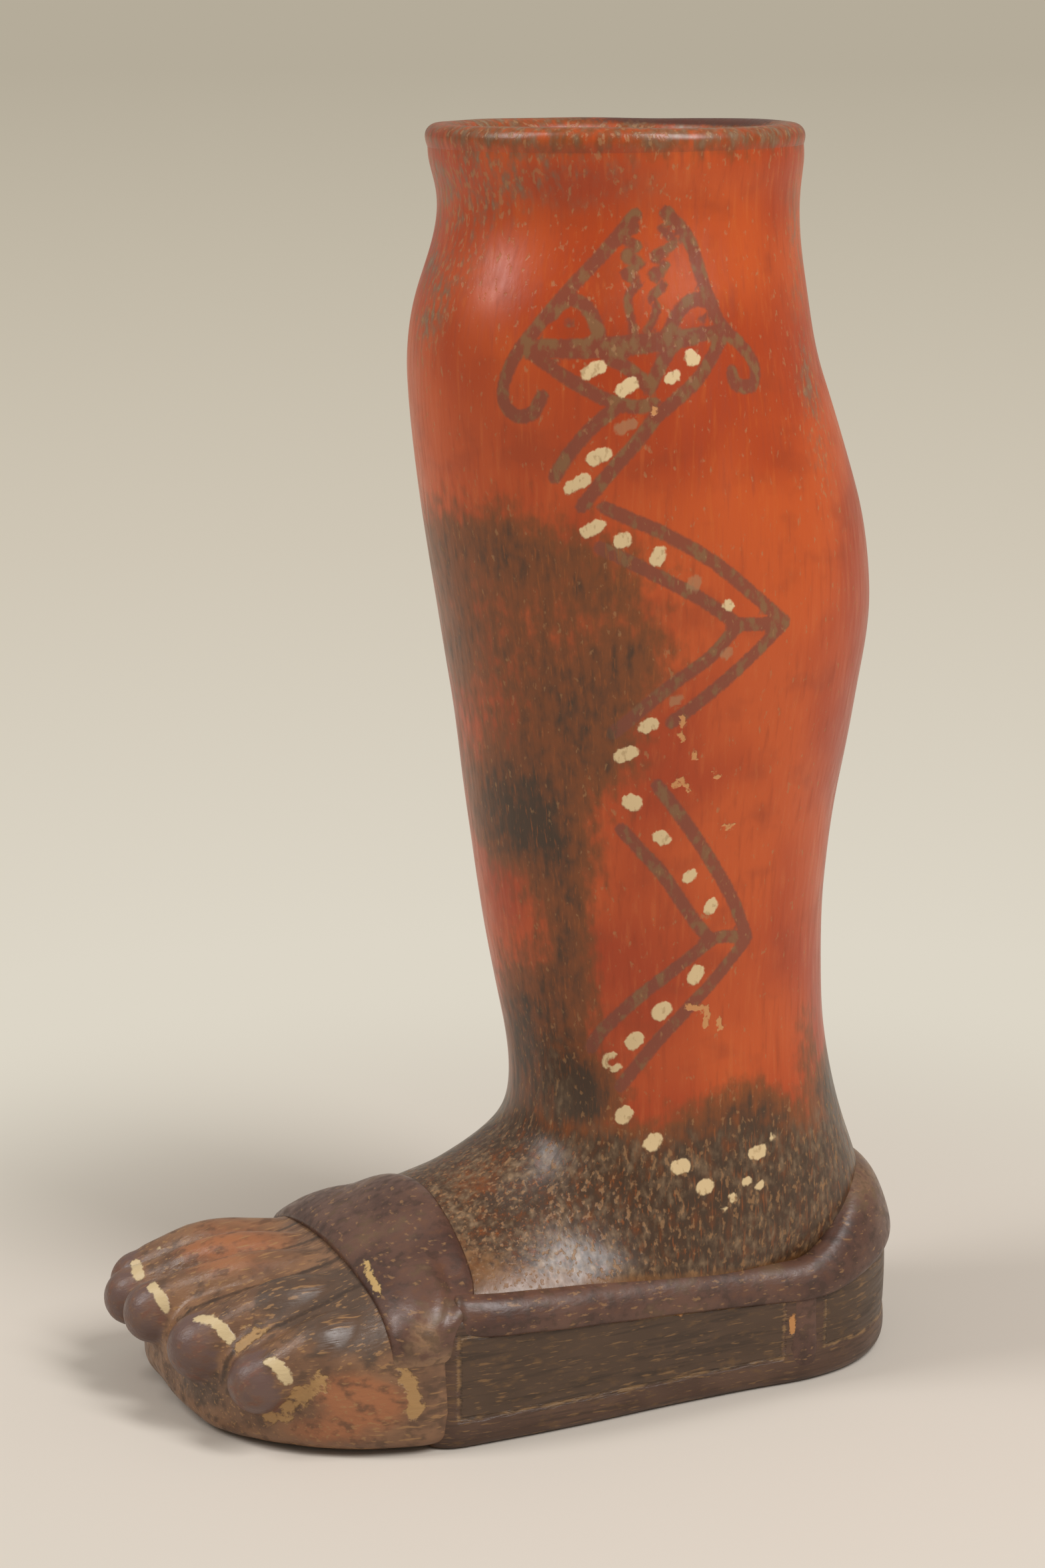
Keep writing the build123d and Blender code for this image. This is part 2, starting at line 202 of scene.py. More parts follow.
# %% Raise the outer skin of the leg
SKIN_RINGS = [
    # back x, back z, front x, front z, half width
    (-43.2, 296.0, 43.4, 296.0, 43.3),
    (-43.7, 292.0, 43.4, 292.0, 43.4),
    (-43.1, 287.0, 41.8, 287.0, 42.2),
    (-42.8, 281.0, 40.7, 281.0, 41.6),
    (-43.2, 272.0, 42.4, 272.0, 42.8),
    (-45.0, 260.0, 47.4, 260.0, 45.5),
    (-47.2, 248.0, 48.9, 248.0, 47.0),
    (-53.4, 230.0, 47.7, 230.0, 48.4),
    (-60.2, 209.0, 45.0, 209.0, 49.6),
    (-62.7, 187.0, 41.4, 187.0, 48.8),
    (-59.6, 164.0, 37.6, 164.0, 45.4),
    (-55.0, 140.0, 35.0, 140.0, 41.8),
    (-52.9, 118.0, 31.7, 118.0, 39.0),
    (-52.7, 98.0, 28.1, 98.0, 37.2),
    (-54.5, 80.0, 24.7, 80.0, 36.5),
    (-56.6, 68.0, 23.6, 70.0, 36.7),
    (-60.0, 56.0, 25.4, 61.8, 37.2),
    (-65.5, 44.0, 31.0, 57.2, 37.6),
    (-66.5, 30.0, 37.6, 54.0, 38.2),
    (-56.0, 18.0, 44.4, 51.0, 38.8),
    (-30.0, 11.0, 51.0, 48.6, 40.4),
    (8.0, 10.0, 57.0, 45.6, 42.0),
    (46.0, 10.0, 65.0, 41.0, 42.6),
]
SKIN_STEP = 12.0
# Subdivision draws a ring in to this share of its size
ROUNDING_LOSS = 0.9936
PRESS_DEPTH, PRESS_WIDTH = 0.35, 24.0

bm = bmesh.new()
rings = []
for back_x, back_z, front_x, front_z, half_width in filled_in(SKIN_RINGS, SKIN_STEP):
    back, front = Vector((back_x, 0.0, back_z)), Vector((front_x, 0.0, front_z))
    reach = (front - back) / 2.0 / ROUNDING_LOSS
    rings.append(ring(bm, (back + front) / 2.0, reach, Vector((0.0, half_width / ROUNDING_LOSS, 0.0))))
wall(bm, rings, start_closed=False)
leg = clay_piece(bm, "leg_skin", 3)
hand_made(leg, PRESS_DEPTH, PRESS_WIDTH)
print("leg skin:", len(rings), "rings,", len(leg.data.polygons), "faces")

# %% [markdown]
# The leg is hollow from the mouth to the foot. A Solidify modifier would give the wall its thickness, but
# it would also double the fine mesh where nobody looks. So the open edge at the mouth is extruded inwards
# and then down, one ring at a time, and closed at the floor of the cup.

# %% Hollow the leg
MOUTH_RING = (296.0, 0.1, 43.3, 43.3)
BORE_RINGS = [
    # height, centre, half depth, half width
    (296.0, 0.1, 37.0, 37.0),
    (291.0, 0.2, 35.6, 35.6),
    (272.0, -0.1, 36.6, 36.6),
    (248.0, 0.8, 41.4, 40.4),
    (209.0, -7.6, 46.0, 43.0),
    (187.0, -10.6, 45.4, 42.2),
    (140.0, -10.0, 38.4, 35.2),
    (98.0, -12.3, 33.8, 30.6),
    (70.0, -15.0, 34.0, 30.0),
    (48.0, -15.0, 40.0, 30.5),
    (30.0, -12.0, 44.0, 31.0),
    (18.0, -11.0, 36.0, 25.0),
    (14.0, -11.0, 18.0, 12.0),
]
BORE_STEP = 9.0
skin_count = len(leg.data.vertices)
bm = bmesh.new()
bm.from_mesh(leg.data)
edge = [e for e in bm.edges if e.is_boundary]
old_height, old_middle, old_depth, old_width = MOUTH_RING
for height, middle, depth, width in filled_in(BORE_RINGS, BORE_STEP):
    made = bmesh.ops.extrude_edge_only(bm, edges=edge)["geom"]
    edge = [part for part in made if isinstance(part, bmesh.types.BMEdge)]
    verts = [part for part in made if isinstance(part, bmesh.types.BMVert)]
    settle = Matrix.Translation(Vector((-old_middle, 0.0, -old_height)) * MM)
    stretch = Matrix.Diagonal((depth / old_depth, width / old_width, 1.0, 1.0))
    lower = Matrix.Translation(Vector((middle, 0.0, height)) * MM)
    bmesh.ops.transform(bm, matrix=lower @ stretch @ settle, verts=verts)
    old_height, old_middle, old_depth, old_width = height, middle, depth, width
bmesh.ops.edgeloop_fill(bm, edges=edge)
bmesh.ops.recalc_face_normals(bm, faces=bm.faces)
bm.to_mesh(leg.data)
bm.free()
leg.data.shade_smooth()
print("leg with its bore:", len(leg.data.polygons), "faces")

# %% [markdown]
# # The rolled lip
# The lip is a last coil, pressed onto the mouth and rounded between finger and thumb. It is the same all
# the way round, so its section is drawn once and spun about the axis of the mouth.

# %% Roll the lip
LIP_SECTION = [
    # radius, height
    (42.2, 291.6),
    (43.4, 294.0),
    (44.4, 296.8),
    (43.8, 298.8),
    (42.0, 300.0),
    (39.4, 300.0),
    (37.4, 298.8),
    (36.0, 296.4),
    (35.2, 292.6),
    (36.0, 288.0),
    (39.0, 288.0),
]
LIP_STEPS, LIP_CENTRE = 48, (0.2, 0.0, 0.0)
bm = bmesh.new()
section = [bm.verts.new((radius, 0.0, height)) for radius, height in LIP_SECTION]
outline = [bm.edges.new((a, b)) for a, b in zip(section, section[1:] + section[:1])]
drawn = section + outline
bmesh.ops.spin(bm, geom=drawn, axis=UP, cent=LIP_CENTRE, angle=math.tau, steps=LIP_STEPS, use_merge=True)
lip = clay_piece(bm, "rolled_lip", 2)
hand_made(lip, PRESS_DEPTH, PRESS_WIDTH)
print("lip:", len(lip.data.polygons), "faces")

# %% [markdown]
# # The plan of the foot
# The sandal's sole, walls and bands all follow one outline: a round heel, sides that widen towards the ball
# of the foot, and two quarter ellipses that meet at the toes. A walk along it, from the strap round the
# heel and back to the strap on the other side, places everything that is laid along the edge.

# %% Outline of the foot
HEEL_CENTRE, HEEL_RADIUS = -32.0, 39.5
BALL_HALF_WIDTH = 46.0
LATERAL_BALL, MEDIAL_BALL = 58.0, 88.0
TOE_END, TOE_END_SIDE = 110.0, -12.0
WALK_FRONT = 66.0
SIDE_SHARE = 0.36


def eased(values, low, high):
    """Values as a share from 0 at low to 1 at high, with soft ends."""
    share = np.clip((values - low) / (high - low), 0.0, 1.0)
    return share * share * (3.0 - 2.0 * share)


def mix(first, second, share):
    """What lies between two values, at a share of the way from the first to the second."""
    return first + (second - first) * share


def side_edge(x, side):
    """Y of the edge at x, where side is 1 for the little-toe side and -1 for the big-toe side."""
    ball = LATERAL_BALL if side > 0 else MEDIAL_BALL
    if x > ball:
        along = min(1.0, (x - ball) / (TOE_END - ball))
        return mix(TOE_END_SIDE, side * BALL_HALF_WIDTH, math.sqrt(1.0 - along * along))
    return side * mix(HEEL_RADIUS, BALL_HALF_WIDTH, eased(x, HEEL_CENTRE, ball))


def walk(share):
    """Place and outward direction on the outline, from the strap (0) round the heel to the strap (1)."""
    if SIDE_SHARE < share < 1.0 - SIDE_SHARE:
        turn = math.pi / 2.0 + math.pi * (share - SIDE_SHARE) / (1.0 - 2.0 * SIDE_SHARE)
        out = Vector((math.cos(turn), math.sin(turn), 0.0))
        return Vector((HEEL_CENTRE, 0.0, 0.0)) + out * HEEL_RADIUS, out
    side = 1 if share < 0.5 else -1
    back = min(share, 1.0 - share) / SIDE_SHARE
    x = mix(WALK_FRONT, HEEL_CENTRE, back)
    slope = side_edge(x + 1.0, side) - side_edge(x - 1.0, side)
    return Vector((x, side_edge(x, side), 0.0)), Vector((-side * slope / 2.0, side, 0.0)).normalized()


print("the heel's corner lies at", [round(c, 1) for c in walk(SIDE_SHARE)[0]])

# %% [markdown]
# # The sandal's block
# Sole and side walls were slabs, butted and smeared together, so they show as one block with a faint line
# where the wall stands on the sole. Level rings follow the outline, drawn in at the bottom for the worn
# edge.

# %% Build the block
BLOCK_LEVELS = [
    # height, inset
    (-0.2, 3.0),
    (0.2, 1.4),
    (1.6, 0.2),
    (5.0, -0.3),
    (8.8, 0.0),
    (9.6, 0.25),
    (10.4, 0.0),
    (16.0, -0.2),
    (24.0, -0.1),
    (30.0, 0.1),
    (33.0, 0.8),
    (34.0, 5.0),
]
BLOCK_SEGMENTS = 96
BLOCK_TUCK, TUCK_SHARE = 3.0, 0.025
WALL_FOOT, WALL_TOP = 10.4, BLOCK_LEVELS[-1][0]
FRONT_DROP, CORNER_DROP = 0.5, 7.2
CORNER_SHARE = 0.365
SWELL_OVERLAP, SWELL_STEEPNESS = 0.004, 1.5


def heel_share(share):
    """How far the heel band has swollen at a place on the walk, from 0 at its corners to 1 behind."""
    reach = 0.5 - CORNER_SHARE + SWELL_OVERLAP
    return eased(SWELL_STEEPNESS * (1.0 - abs(share - 0.5) / reach), 0.0, 1.0)


def drop(share):
    """How far the top of the wall has sunk, at a place on the walk. It sinks from the strap to the corner."""
    back = min(1.0, min(share, 1.0 - share) / CORNER_SHARE)
    return mix(FRONT_DROP, CORNER_DROP, back) * (1.0 - heel_share(share))


bm = bmesh.new()
rings = []
for height, inset in BLOCK_LEVELS:
    verts = bmesh.ops.create_circle(bm, segments=BLOCK_SEGMENTS, radius=1.0)["verts"]
    for count, v in enumerate(verts):
        share = count / (BLOCK_SEGMENTS - 1)
        place, out = walk(share)
        tuck = BLOCK_TUCK * max(0.0, 1.0 - min(share, 1.0 - share) / TUCK_SHARE)
        lowered = height - drop(share) * max(0.0, height - WALL_FOOT) / (WALL_TOP - WALL_FOOT)
        v.co = place - out * (inset + tuck) + UP * lowered
    rings.append(list({e for v in verts for e in v.link_edges}))
wall(bm, rings)
block = clay_piece(bm, "sandal_block", 2)
hand_made(block, depth=0.3, width=18.0)
print("block:", len(block.data.polygons), "faces")

# %% [markdown]
# # The band round the sandal
# A roll of clay runs along the top of each side wall, sinks towards the heel and there widens into a broad
# band, leaning in against the ankle. It is one run on the real cup, so it is one roll here: rings that
# stand across the outline, small along the sides and tall at the heel.

# %% Lay the band
BAND_STATIONS, BAND_START = 84, 0.03
# Height of the middle, half height, half thickness, how deep it is sunk in the wall, and how far it leans in
STRIP_SIZES = (32.6, 4.6, 3.2, 2.5, 1.5)
HEEL_BAND_SIZES = (35.6, 11.0, 6.5, 6.2, 3.6)
END_SINK, END_SHARE = 2.6, 0.07
bm = bmesh.new()
rings = []
for count in range(BAND_STATIONS):
    share = BAND_START + (1.0 - 2.0 * BAND_START) * count / (BAND_STATIONS - 1)
    place, out = walk(share)
    swell = heel_share(share)
    sizes = [mix(strip, heel, swell) for strip, heel in zip(STRIP_SIZES, HEEL_BAND_SIZES)]
    height, half_height, half_thickness, sink, lean = sizes
    sink += END_SINK * max(0.0, 1.0 - min(share, 1.0 - share) / END_SHARE)
    middle = place - out * sink + UP * (height - drop(share))
    upright = UP * half_height - out * lean
    rings.append(ring(bm, middle, out * half_thickness, upright, segments=14, squareness=1.3))
wall(bm, rings)
band = clay_piece(bm, "sandal_band", 2)
hand_made(band, depth=0.3, width=14.0)
print("band:", BAND_STATIONS, "stations,", len(band.data.polygons), "faces")

# %% [markdown]
# # The corner strips
# Where the heel wall meets a side wall, a flat strip of clay covers the joint and parts the two panels.
# Each is a short upright roll, pressed nearly flat.

# %% Press on the corner strips
CORNER_HALF_WIDTH, CORNER_HALF_THICKNESS, CORNER_SINK = 4.2, 2.2, 1.9
CORNER_HEIGHTS = (3.5, 5.0, 10.0, 16.0, 21.0, 25.0)
NARROW_END = 0.75
corner_strips = []
for name, share in (("lateral_corner", CORNER_SHARE), ("medial_corner", 1.0 - CORNER_SHARE)):
    bm = bmesh.new()
    rings = []
    place, out = walk(share)
    for height in CORNER_HEIGHTS:
        middle = place - out * CORNER_SINK + UP * height
        narrow = NARROW_END if height == CORNER_HEIGHTS[0] else 1.0
        side = out.cross(UP) * CORNER_HALF_WIDTH * narrow
        face = out * CORNER_HALF_THICKNESS * narrow
        rings.append(ring(bm, middle, side, face, segments=16, squareness=1.6))
    wall(bm, rings)
    corner_strips.append(clay_piece(bm, name, 2))
print("corner strips:", [len(strip.data.polygons) for strip in corner_strips], "faces")

# %% [markdown]
# # The forefoot
# The front of the foot is a rounded cap, which closes the hollow of the sandal. Its rings stand across the
# foot and follow the outline. Below its widest place the cap is nearly square, so that it stands flat on
# the floor, and above that it is arched.

# %% Shape the cap
CAP_END, CAP_BULGE, CAP_UNDERCUT = 113.6, 2.6, 0.8
CAP_TUCK, CAP_TUCK_SHARE = 2.0, 0.1
CAP_STEP, CAP_FILL, CAP_SQUARENESS = 5.0, 1.6, 0.25
CAP_RINGS = [
    # x, bottom, height of the widest place, crown, and how roundly its sides rise
    (58.0, 0.2, 12.0, 42.5, 0.35),
    (66.0, 0.2, 12.0, 40.0, 0.35),
    (74.0, 0.2, 12.5, 36.2, 0.42),
    (82.0, 0.2, 13.0, 33.6, 0.5),
    (90.0, 0.2, 13.5, 31.8, 0.55),
    (97.0, 0.2, 14.0, 30.0, 0.6),
    (103.0, 0.3, 14.5, 28.0, 0.6),
    (107.5, 0.8, 15.0, 26.6, 0.65),
    (111.0, 3.4, 15.6, 23.4, 0.7),
    (113.4, 8.4, 16.0, 19.6, 0.8),
]
bm = bmesh.new()
rings = []
cap_start = CAP_RINGS[0][0]
for x, bottom, waist, crown, roundness in filled_in(CAP_RINGS, CAP_STEP):
    ahead = (x - cap_start) / (CAP_END - cap_start)
    under_x = mix(cap_start, TOE_END, ahead)
    fill = min(1.0, ahead * CAP_FILL)
    bulge = CAP_BULGE * fill - CAP_TUCK * max(0.0, 1.0 - ahead / CAP_TUCK_SHARE)
    left, right = side_edge(under_x, 1) + bulge, side_edge(under_x, -1) - bulge
    middle, half = (left + right) / 2.0, (left - right) / 2.0
    edges = ring(bm, Vector((x, middle, waist)), Vector((0.0, half, 0.0)), UP, segments=48)
    for v in {v for e in edges for v in e.verts}:
        lift, aside = v.co.z - waist, (v.co.y - middle) / half
        if lift > 0.0:
            v.co.z = waist + (crown - waist) * lift**roundness
        else:
            down = abs(lift) ** CAP_SQUARENESS
            tuck = CAP_UNDERCUT * down * fill
            v.co.y = middle + math.copysign(abs(aside) ** CAP_SQUARENESS, aside) * max(1.0, half - tuck)
            v.co.z = waist - (waist - bottom) * down
    rings.append(edges)
wall(bm, rings)
cap_lay = BVHTree.FromBMesh(bm)
print("cap:", len(rings), "rings")

# %% [markdown]
# # The toes
# Five toes lie on the cap as long rolls, worked into it with wet fingers. Surfaces that flow into each
# other are hard to bridge by hand. So the cap and the toes are made apart, overlapping, and a voxel Remesh
# melts them into one skin, which a Smooth modifier then softens.

# %% Roll the toes and melt them on
TOES = {
    # root, knuckle, neck and middle of the tip, each with its radius
    "little": ((75, 29, 26, 5.8), (85, 30.4, 24.8, 7), (93, 30, 20.6, 7), (100.4, 28, 16.8, 7.4)),
    "fourth": ((75, 14, 28.6, 6), (88, 13.2, 28, 7.4), (100.6, 11.2, 23.4, 7.2), (108.8, 9.4, 20, 8)),
    "third": ((75, -0.5, 29.8, 6), (91, -5.6, 29, 6.8), (105, -10.4, 24.8, 6.8), (113.4, -12.6, 21.6, 7.4)),
    "second": ((75, -15, 29.6, 6), (93, -20.6, 28.8, 6.8), (106.4, -24.8, 24, 6.6), (114, -27.2, 20.6, 7.3)),
    "big": ((75, -29.6, 27.4, 6.8), (91, -35, 26.6, 7.8), (101, -38.4, 23, 7.4), (108.4, -40.2, 19.2, 7.6)),
}
TOE_STEP = 3.0
CLAY_GRAIN = 0.9
for path in TOES.values():
    tip = path[-1]
    rings = []
    path = filled_in(path, TOE_STEP)
    for spot, ahead in zip(path, path[1:]):
        sight = Vector(ahead[:3] - spot[:3]).normalized()
        side = sight.cross(UP).normalized() * spot[3]
        rings.append(ring(bm, Vector(spot[:3]), side, sight.cross(side), segments=24))
    wall(bm, rings)
    there = Matrix.Translation(tip[:3])
    bmesh.ops.create_uvsphere(bm, u_segments=24, v_segments=14, radius=tip[3], matrix=there)
forefoot = clay_piece(bm, "forefoot", 0)
melt = forefoot.modifiers.new("melt together", "REMESH")
melt.mode, melt.voxel_size = "VOXEL", CLAY_GRAIN * MM
soften = forefoot.modifiers.new("wet fingers", "SMOOTH")
soften.factor, soften.iterations = 0.5, 10
make_real(forefoot)
forefoot.data.shade_smooth()
hand_made(forefoot, depth=0.3, width=12.0)
print("forefoot:", len(forefoot.data.polygons), "faces")

# %% [markdown]
# # The strap
# The strap is a flat slab laid wet over the instep and pressed down at its edges, so it follows whatever is
# under it. A grid is laid in the same way: each of its points falls towards the middle of the foot until it
# meets the clay, and then stands off by the strap's thickness there. Solidify gives the slab its underside.

# %% Lay the strap over the instep
STRAP_THICKNESS, STRAP_EDGE, STRAP_BACK_EDGE = 3.0, 2.4, 9.0
STRAP_CROWN_BACK, STRAP_SIDE_BACK, STRAP_FRONT = 49.0, 51.0, 74.0
STRAP_END_BACK, STRAP_FOOT = 59.0, 8.0
STRAP_AXIS, STRAP_REACH = 22.0, 70.0
STRAP_ROUND, STRAP_ACROSS = 90, 22
# Where along the climb from the crown (0) to the foot of the strap (1) things happen to it
FLANK_FROM, FLANK_TO = 0.35, 0.7
SWING_FROM, SWING_TO = 0.48, 0.57
FADE_FROM, FADE_TO, FADE_DEPTH = 0.52, 0.66, 1.35
UPRIGHT_FROM = 0.62
STRAP_SEAT, STRAP_SMOOTHINGS = 0.4, 4


def lay_of(piece):
    """A search tree over a piece, in millimetres."""
    spots = [Vector(spot) for spot in places(piece)]
    return BVHTree.FromPolygons(spots, [face.vertices for face in piece.data.polygons])


under_strap = [cap_lay, lay_of(leg), lay_of(block), lay_of(band)]
bm = bmesh.new()
verts = bmesh.ops.create_grid(bm, x_segments=STRAP_ROUND, y_segments=STRAP_ACROSS, size=1.0)["verts"]
for v in verts:
    round_share, across_share = (v.co.x + 1.0) / 2.0, (v.co.y + 1.0) / 2.0
    climb = abs(2.0 * round_share - 1.0)
    side = 1.0 if round_share < 0.5 else -1.0
    back = mix(STRAP_CROWN_BACK, STRAP_SIDE_BACK, eased(climb, FLANK_FROM, FLANK_TO))
    back = mix(back, STRAP_END_BACK, eased(climb, SWING_FROM, SWING_TO))
    x = mix(back, STRAP_FRONT, across_share)
    if climb > UPRIGHT_FROM:
        low = (climb - UPRIGHT_FROM) / (1.0 - UPRIGHT_FROM)
        aim = Vector((0.0, -side, 0.0))
        start = Vector((x, side * STRAP_REACH, mix(STRAP_AXIS, STRAP_FOOT, low)))
    else:
        turn = math.pi / 2.0 * (1.0 - climb / UPRIGHT_FROM)
        aim = Vector((0.0, -side * math.cos(turn), -math.sin(turn)))
        start = Vector((x, 0.0, STRAP_AXIS)) - aim * STRAP_REACH
    hits = [lay.ray_cast(start, aim) for lay in under_strap]
    hit = start + aim * min(far for spot, normal, face, far in hits if spot)
    width = STRAP_FRONT - back
    rise = min(1.0, (1.0 - across_share) * width / STRAP_EDGE, across_share * width / STRAP_BACK_EDGE)
    fading = min(1.0, max(0.0, (climb - FADE_FROM) / (FADE_TO - FADE_FROM)))
    thickness = STRAP_THICKNESS * (1.0 - FADE_DEPTH * fading * fading)
    v.co = hit - aim * (thickness * math.sqrt(rise * (2.0 - rise)) - STRAP_SEAT)
for _ in range(STRAP_SMOOTHINGS):
    bmesh.ops.smooth_vert(bm, verts=bm.verts, factor=0.5, use_axis_x=True, use_axis_y=True, use_axis_z=True)
strap = clay_piece(bm, "strap_over_instep", 0)
slab = strap.modifiers.new("slab", "SOLIDIFY")
slab.thickness, slab.offset = STRAP_THICKNESS * MM, -1.0
make_real(strap)
strap.data.shade_smooth()
print("strap:", len(strap.data.polygons), "faces")

# %% [markdown]
# # Carrying marks from the picture to the clay
# The serpent is drawn with a brush on a leg that swells and turns, so it can't be laid out flat without
# stretching. A UV map and a painted image would hold it, but an image goes soft when the camera comes near.
# Here a brush stroke is a short row of places in the photograph. Sight lines from the camera carry the
# places onto the clay, and every vertex keeps its distance from the nearest stroke. Distance runs evenly
# between vertices, so a finish can cut a crisp edge out of it.


# %% Helpers for strokes, clouds and marks
FAR_OFF, DEEPEST_CLOUD = 99.0, 1.1
# How far apart the sight lines of a stroke are, in pixels
LINE_STEP, FINE_STEP, NAIL_STEP = 10.0, 5.0, 4.0


def seen_on(lay, across, down):
    """Where a place in the photograph, in pixels, lies on the clay."""
    aim = camera_sight * pixels_to_sensor + camera_right * (across - PHOTO_WIDTH / 2.0)
    aim -= camera_up * (down - PHOTO_HEIGHT / 2.0)
    return np.array(lay.ray_cast(camera_place, aim.normalized())[0])


def strokes_on(lay, rows, step):
    """Brush strokes on the clay, each drawn smoothly through a row of places in the photograph."""
    return [[seen_on(lay, *place) for place in filled_in(row, step)] for row in rows]


def distance_to(spots, strokes):
    """How far each spot is from the nearest of some strokes, in millimetres."""
    nearest = np.full(len(spots), FAR_OFF)
    for stroke in strokes:
        for start, end in zip(stroke, stroke[1:]):
            run = end - start
            share = np.clip((spots - start) @ run / (run @ run), 0.0, 1.0)
            nearest = np.minimum(nearest, np.linalg.norm(spots - start - share[:, None] * run, axis=1))
    return nearest


def gap_to(spots, lay, rows, half_width, step=FINE_STEP):
    """How far each spot is from the edge of strokes that pass through places in the photograph."""
    return distance_to(spots, strokes_on(lay, rows, step)) - half_width


def cloud_over(spots, clouds):
    """How deep each spot lies in soft clouds, given by middle, half width, half height and strength."""
    depth = np.zeros(len(spots))
    for middle, half_width, half_height, strength in clouds:
        off = (spots - middle) / (half_width, half_width, half_height)
        depth += strength * np.exp(-(off * off).sum(axis=1))
    return np.minimum(depth, DEEPEST_CLOUD)


def clouds_on(lay, rows):
    """Clouds on the clay, from rows whose middles are places in the photograph."""
    return [(seen_on(lay, across, down), *cloud) for across, down, *cloud in rows]


def mark(piece, **marks):
    """Keeps numbers with the vertices of a piece, under names that a finish can read."""
    for name, values in marks.items():
        attribute = piece.data.attributes.new(name, "FLOAT", "POINT")
        numbers = np.broadcast_to(values, len(piece.data.vertices)).astype(np.float32)
        attribute.data.foreach_set("value", numbers)


leg_lay = lay_of(leg)
leg_spots = places(leg)
met = seen_on(leg_lay, PHOTO_WIDTH / 2.0, PHOTO_HEIGHT / 2.0)
print("the middle of the picture looks at", [round(c) for c in met])

# %% [markdown]
# # The serpent
# A double line in purple slip zigzags up the leg and ends in a head with two curled whiskers. Dabs of cream
# slip sit between the lines. The ornament is traditional, and nobody in particular drew it.

# %% Draw the serpent's lines
HALF_LINE, HALF_THIN = 1.55, 0.95
SERPENT_LINES = [
    # the head: its two sides with the whiskers, the brow and the jaws
    [(953, 323), (908, 377), (850, 439), (801, 497), (774, 533), (757, 572), (756, 604), (774, 624),
     (799, 621), (813, 595)],
    [(1000, 319), (1033, 359), (1056, 426), (1080, 484), (1109, 515), (1132, 547), (1129, 578),
     (1104, 577), (1098, 558)],
    [(806, 519), (870, 519), (948, 513), (1020, 506), (1076, 498)],
    [(808, 526), (880, 528), (960, 521), (1040, 508)],
    [(797, 530), (850, 567), (899, 595), (931, 607)],
    [(931, 607), (956, 611), (980, 606)],
    [(913, 537), (939, 551), (960, 568), (975, 582)],
    [(1006, 524), (991, 549), (975, 582)],
    # the eyes
    [(828, 472), (850, 449), (881, 461), (899, 500)],
    [(1004, 497), (1019, 467), (1042, 449), (1069, 455)],
    # the body, from the neck down
    [(931, 607), (890, 640), (855, 680), (832, 716)],
    [(1082, 510), (1051, 564), (1015, 600), (984, 627), (953, 667), (917, 707), (873, 760)],
    [(907, 762), (955, 783), (999, 802), (1070, 843), (1121, 884), (1177, 933)],
    [(900, 822), (944, 843), (994, 868), (1060, 904), (1106, 937)],
    [(1106, 937), (1130, 937), (1172, 935)],
    [(1177, 935), (1111, 1001), (1045, 1057), (1008, 1084)],
    [(1106, 940), (1065, 987), (1009, 1027), (948, 1078), (920, 1100)],
    [(986, 1178), (1012, 1212), (1050, 1266), (1096, 1343), (1121, 1407)],
    [(932, 1244), (960, 1275), (994, 1312), (1040, 1379), (1064, 1408)],
    [(1064, 1409), (1090, 1405), (1119, 1406)],
    [(1121, 1408), (1076, 1465), (1028, 1518), (979, 1571), (931, 1630)],
    [(1066, 1412), (1018, 1450), (955, 1499), (905, 1545), (886, 1572)],
]
THIN_LINES = [
    # the pupils, then the scales of the nose
    [(853, 484), (857, 485)],
    [(1053, 479), (1057, 480)],
    [(955, 343), (932, 358), (958, 369), (936, 384), (962, 396), (936, 411), (958, 426), (942, 446),
     (951, 497)],
    [(992, 343), (1011, 366), (981, 384), (1000, 399), (977, 411), (996, 429), (977, 445), (986, 463),
     (972, 497)],
]
line_gap = gap_to(leg_spots, leg_lay, SERPENT_LINES, HALF_LINE, LINE_STEP)
line_gap = np.minimum(line_gap, gap_to(leg_spots, leg_lay, THIN_LINES, HALF_THIN))
strokes = len(SERPENT_LINES) + len(THIN_LINES)
print("serpent:", strokes, "strokes,", int((line_gap < 0.0).sum()), "vertices in the paint")

# %% [markdown]
# The dabs were set down with a loaded brush: a touch, a short pull, and lift. Each is a very short stroke
# with a lean. Those on the head are pulled longer, and those by the ankle are round.

# %% Dab the dots
DABS = [
    # place in the photograph, half pull across and down in pixels, half width in millimetres
    (890, 555, 10, -5, 1.54),
    (941, 581, 8, -5, 1.54),
    (1038, 537, 2, 2, 1.67),
    (1009, 566, 4, -2, 1.32),
    (899, 685, 10, -4, 1.58),
    (866, 726, 12, -7, 1.41),
    (890, 793, 11, -5, 1.41),
    (934, 811, 3, -2, 1.76),
    (987, 835, 2, -6, 1.58),
    (1093, 908, 2, 1, 1.23),
    (973, 1089, 6, -3, 1.5),
    (939, 1132, 9, -4, 1.58),
    (948, 1204, 3, 1, 1.94),
    (993, 1257, 3, 2, 1.67),
    (1034, 1315, 2, -2, 1.5),
    (1066, 1361, 2, -4, 1.58),
    (1044, 1463, 3, -6, 1.67),
    (993, 1517, 4, -3, 1.94),
    (952, 1562, 4, -3, 1.76),
    (936, 1673, 3, -3, 1.85),
    (980, 1714, 3, -3, 1.85),
    (1021, 1751, 4, -1, 1.85),
    (1058, 1781, 3, -2, 1.76),
    (1137, 1729, 5, -2, 1.67),
    (1121, 1773, 2, -1, 0.97),
    (1140, 1779, 2, -2, 0.97),
    (1100, 1798, 1, 2, 1.06),
    (1159, 1706, 1, 2, 0.7),
    (1086, 1815, 1, 1, 0.62),
]
FAINT_DABS = [
    (939, 640, 9, -5, 1.41),
    (1042, 876, 2, -3, 1.58),
    (1091, 981, 3, -2, 1.23),
    (1014, 1052, 2, -2, 1.32),
]
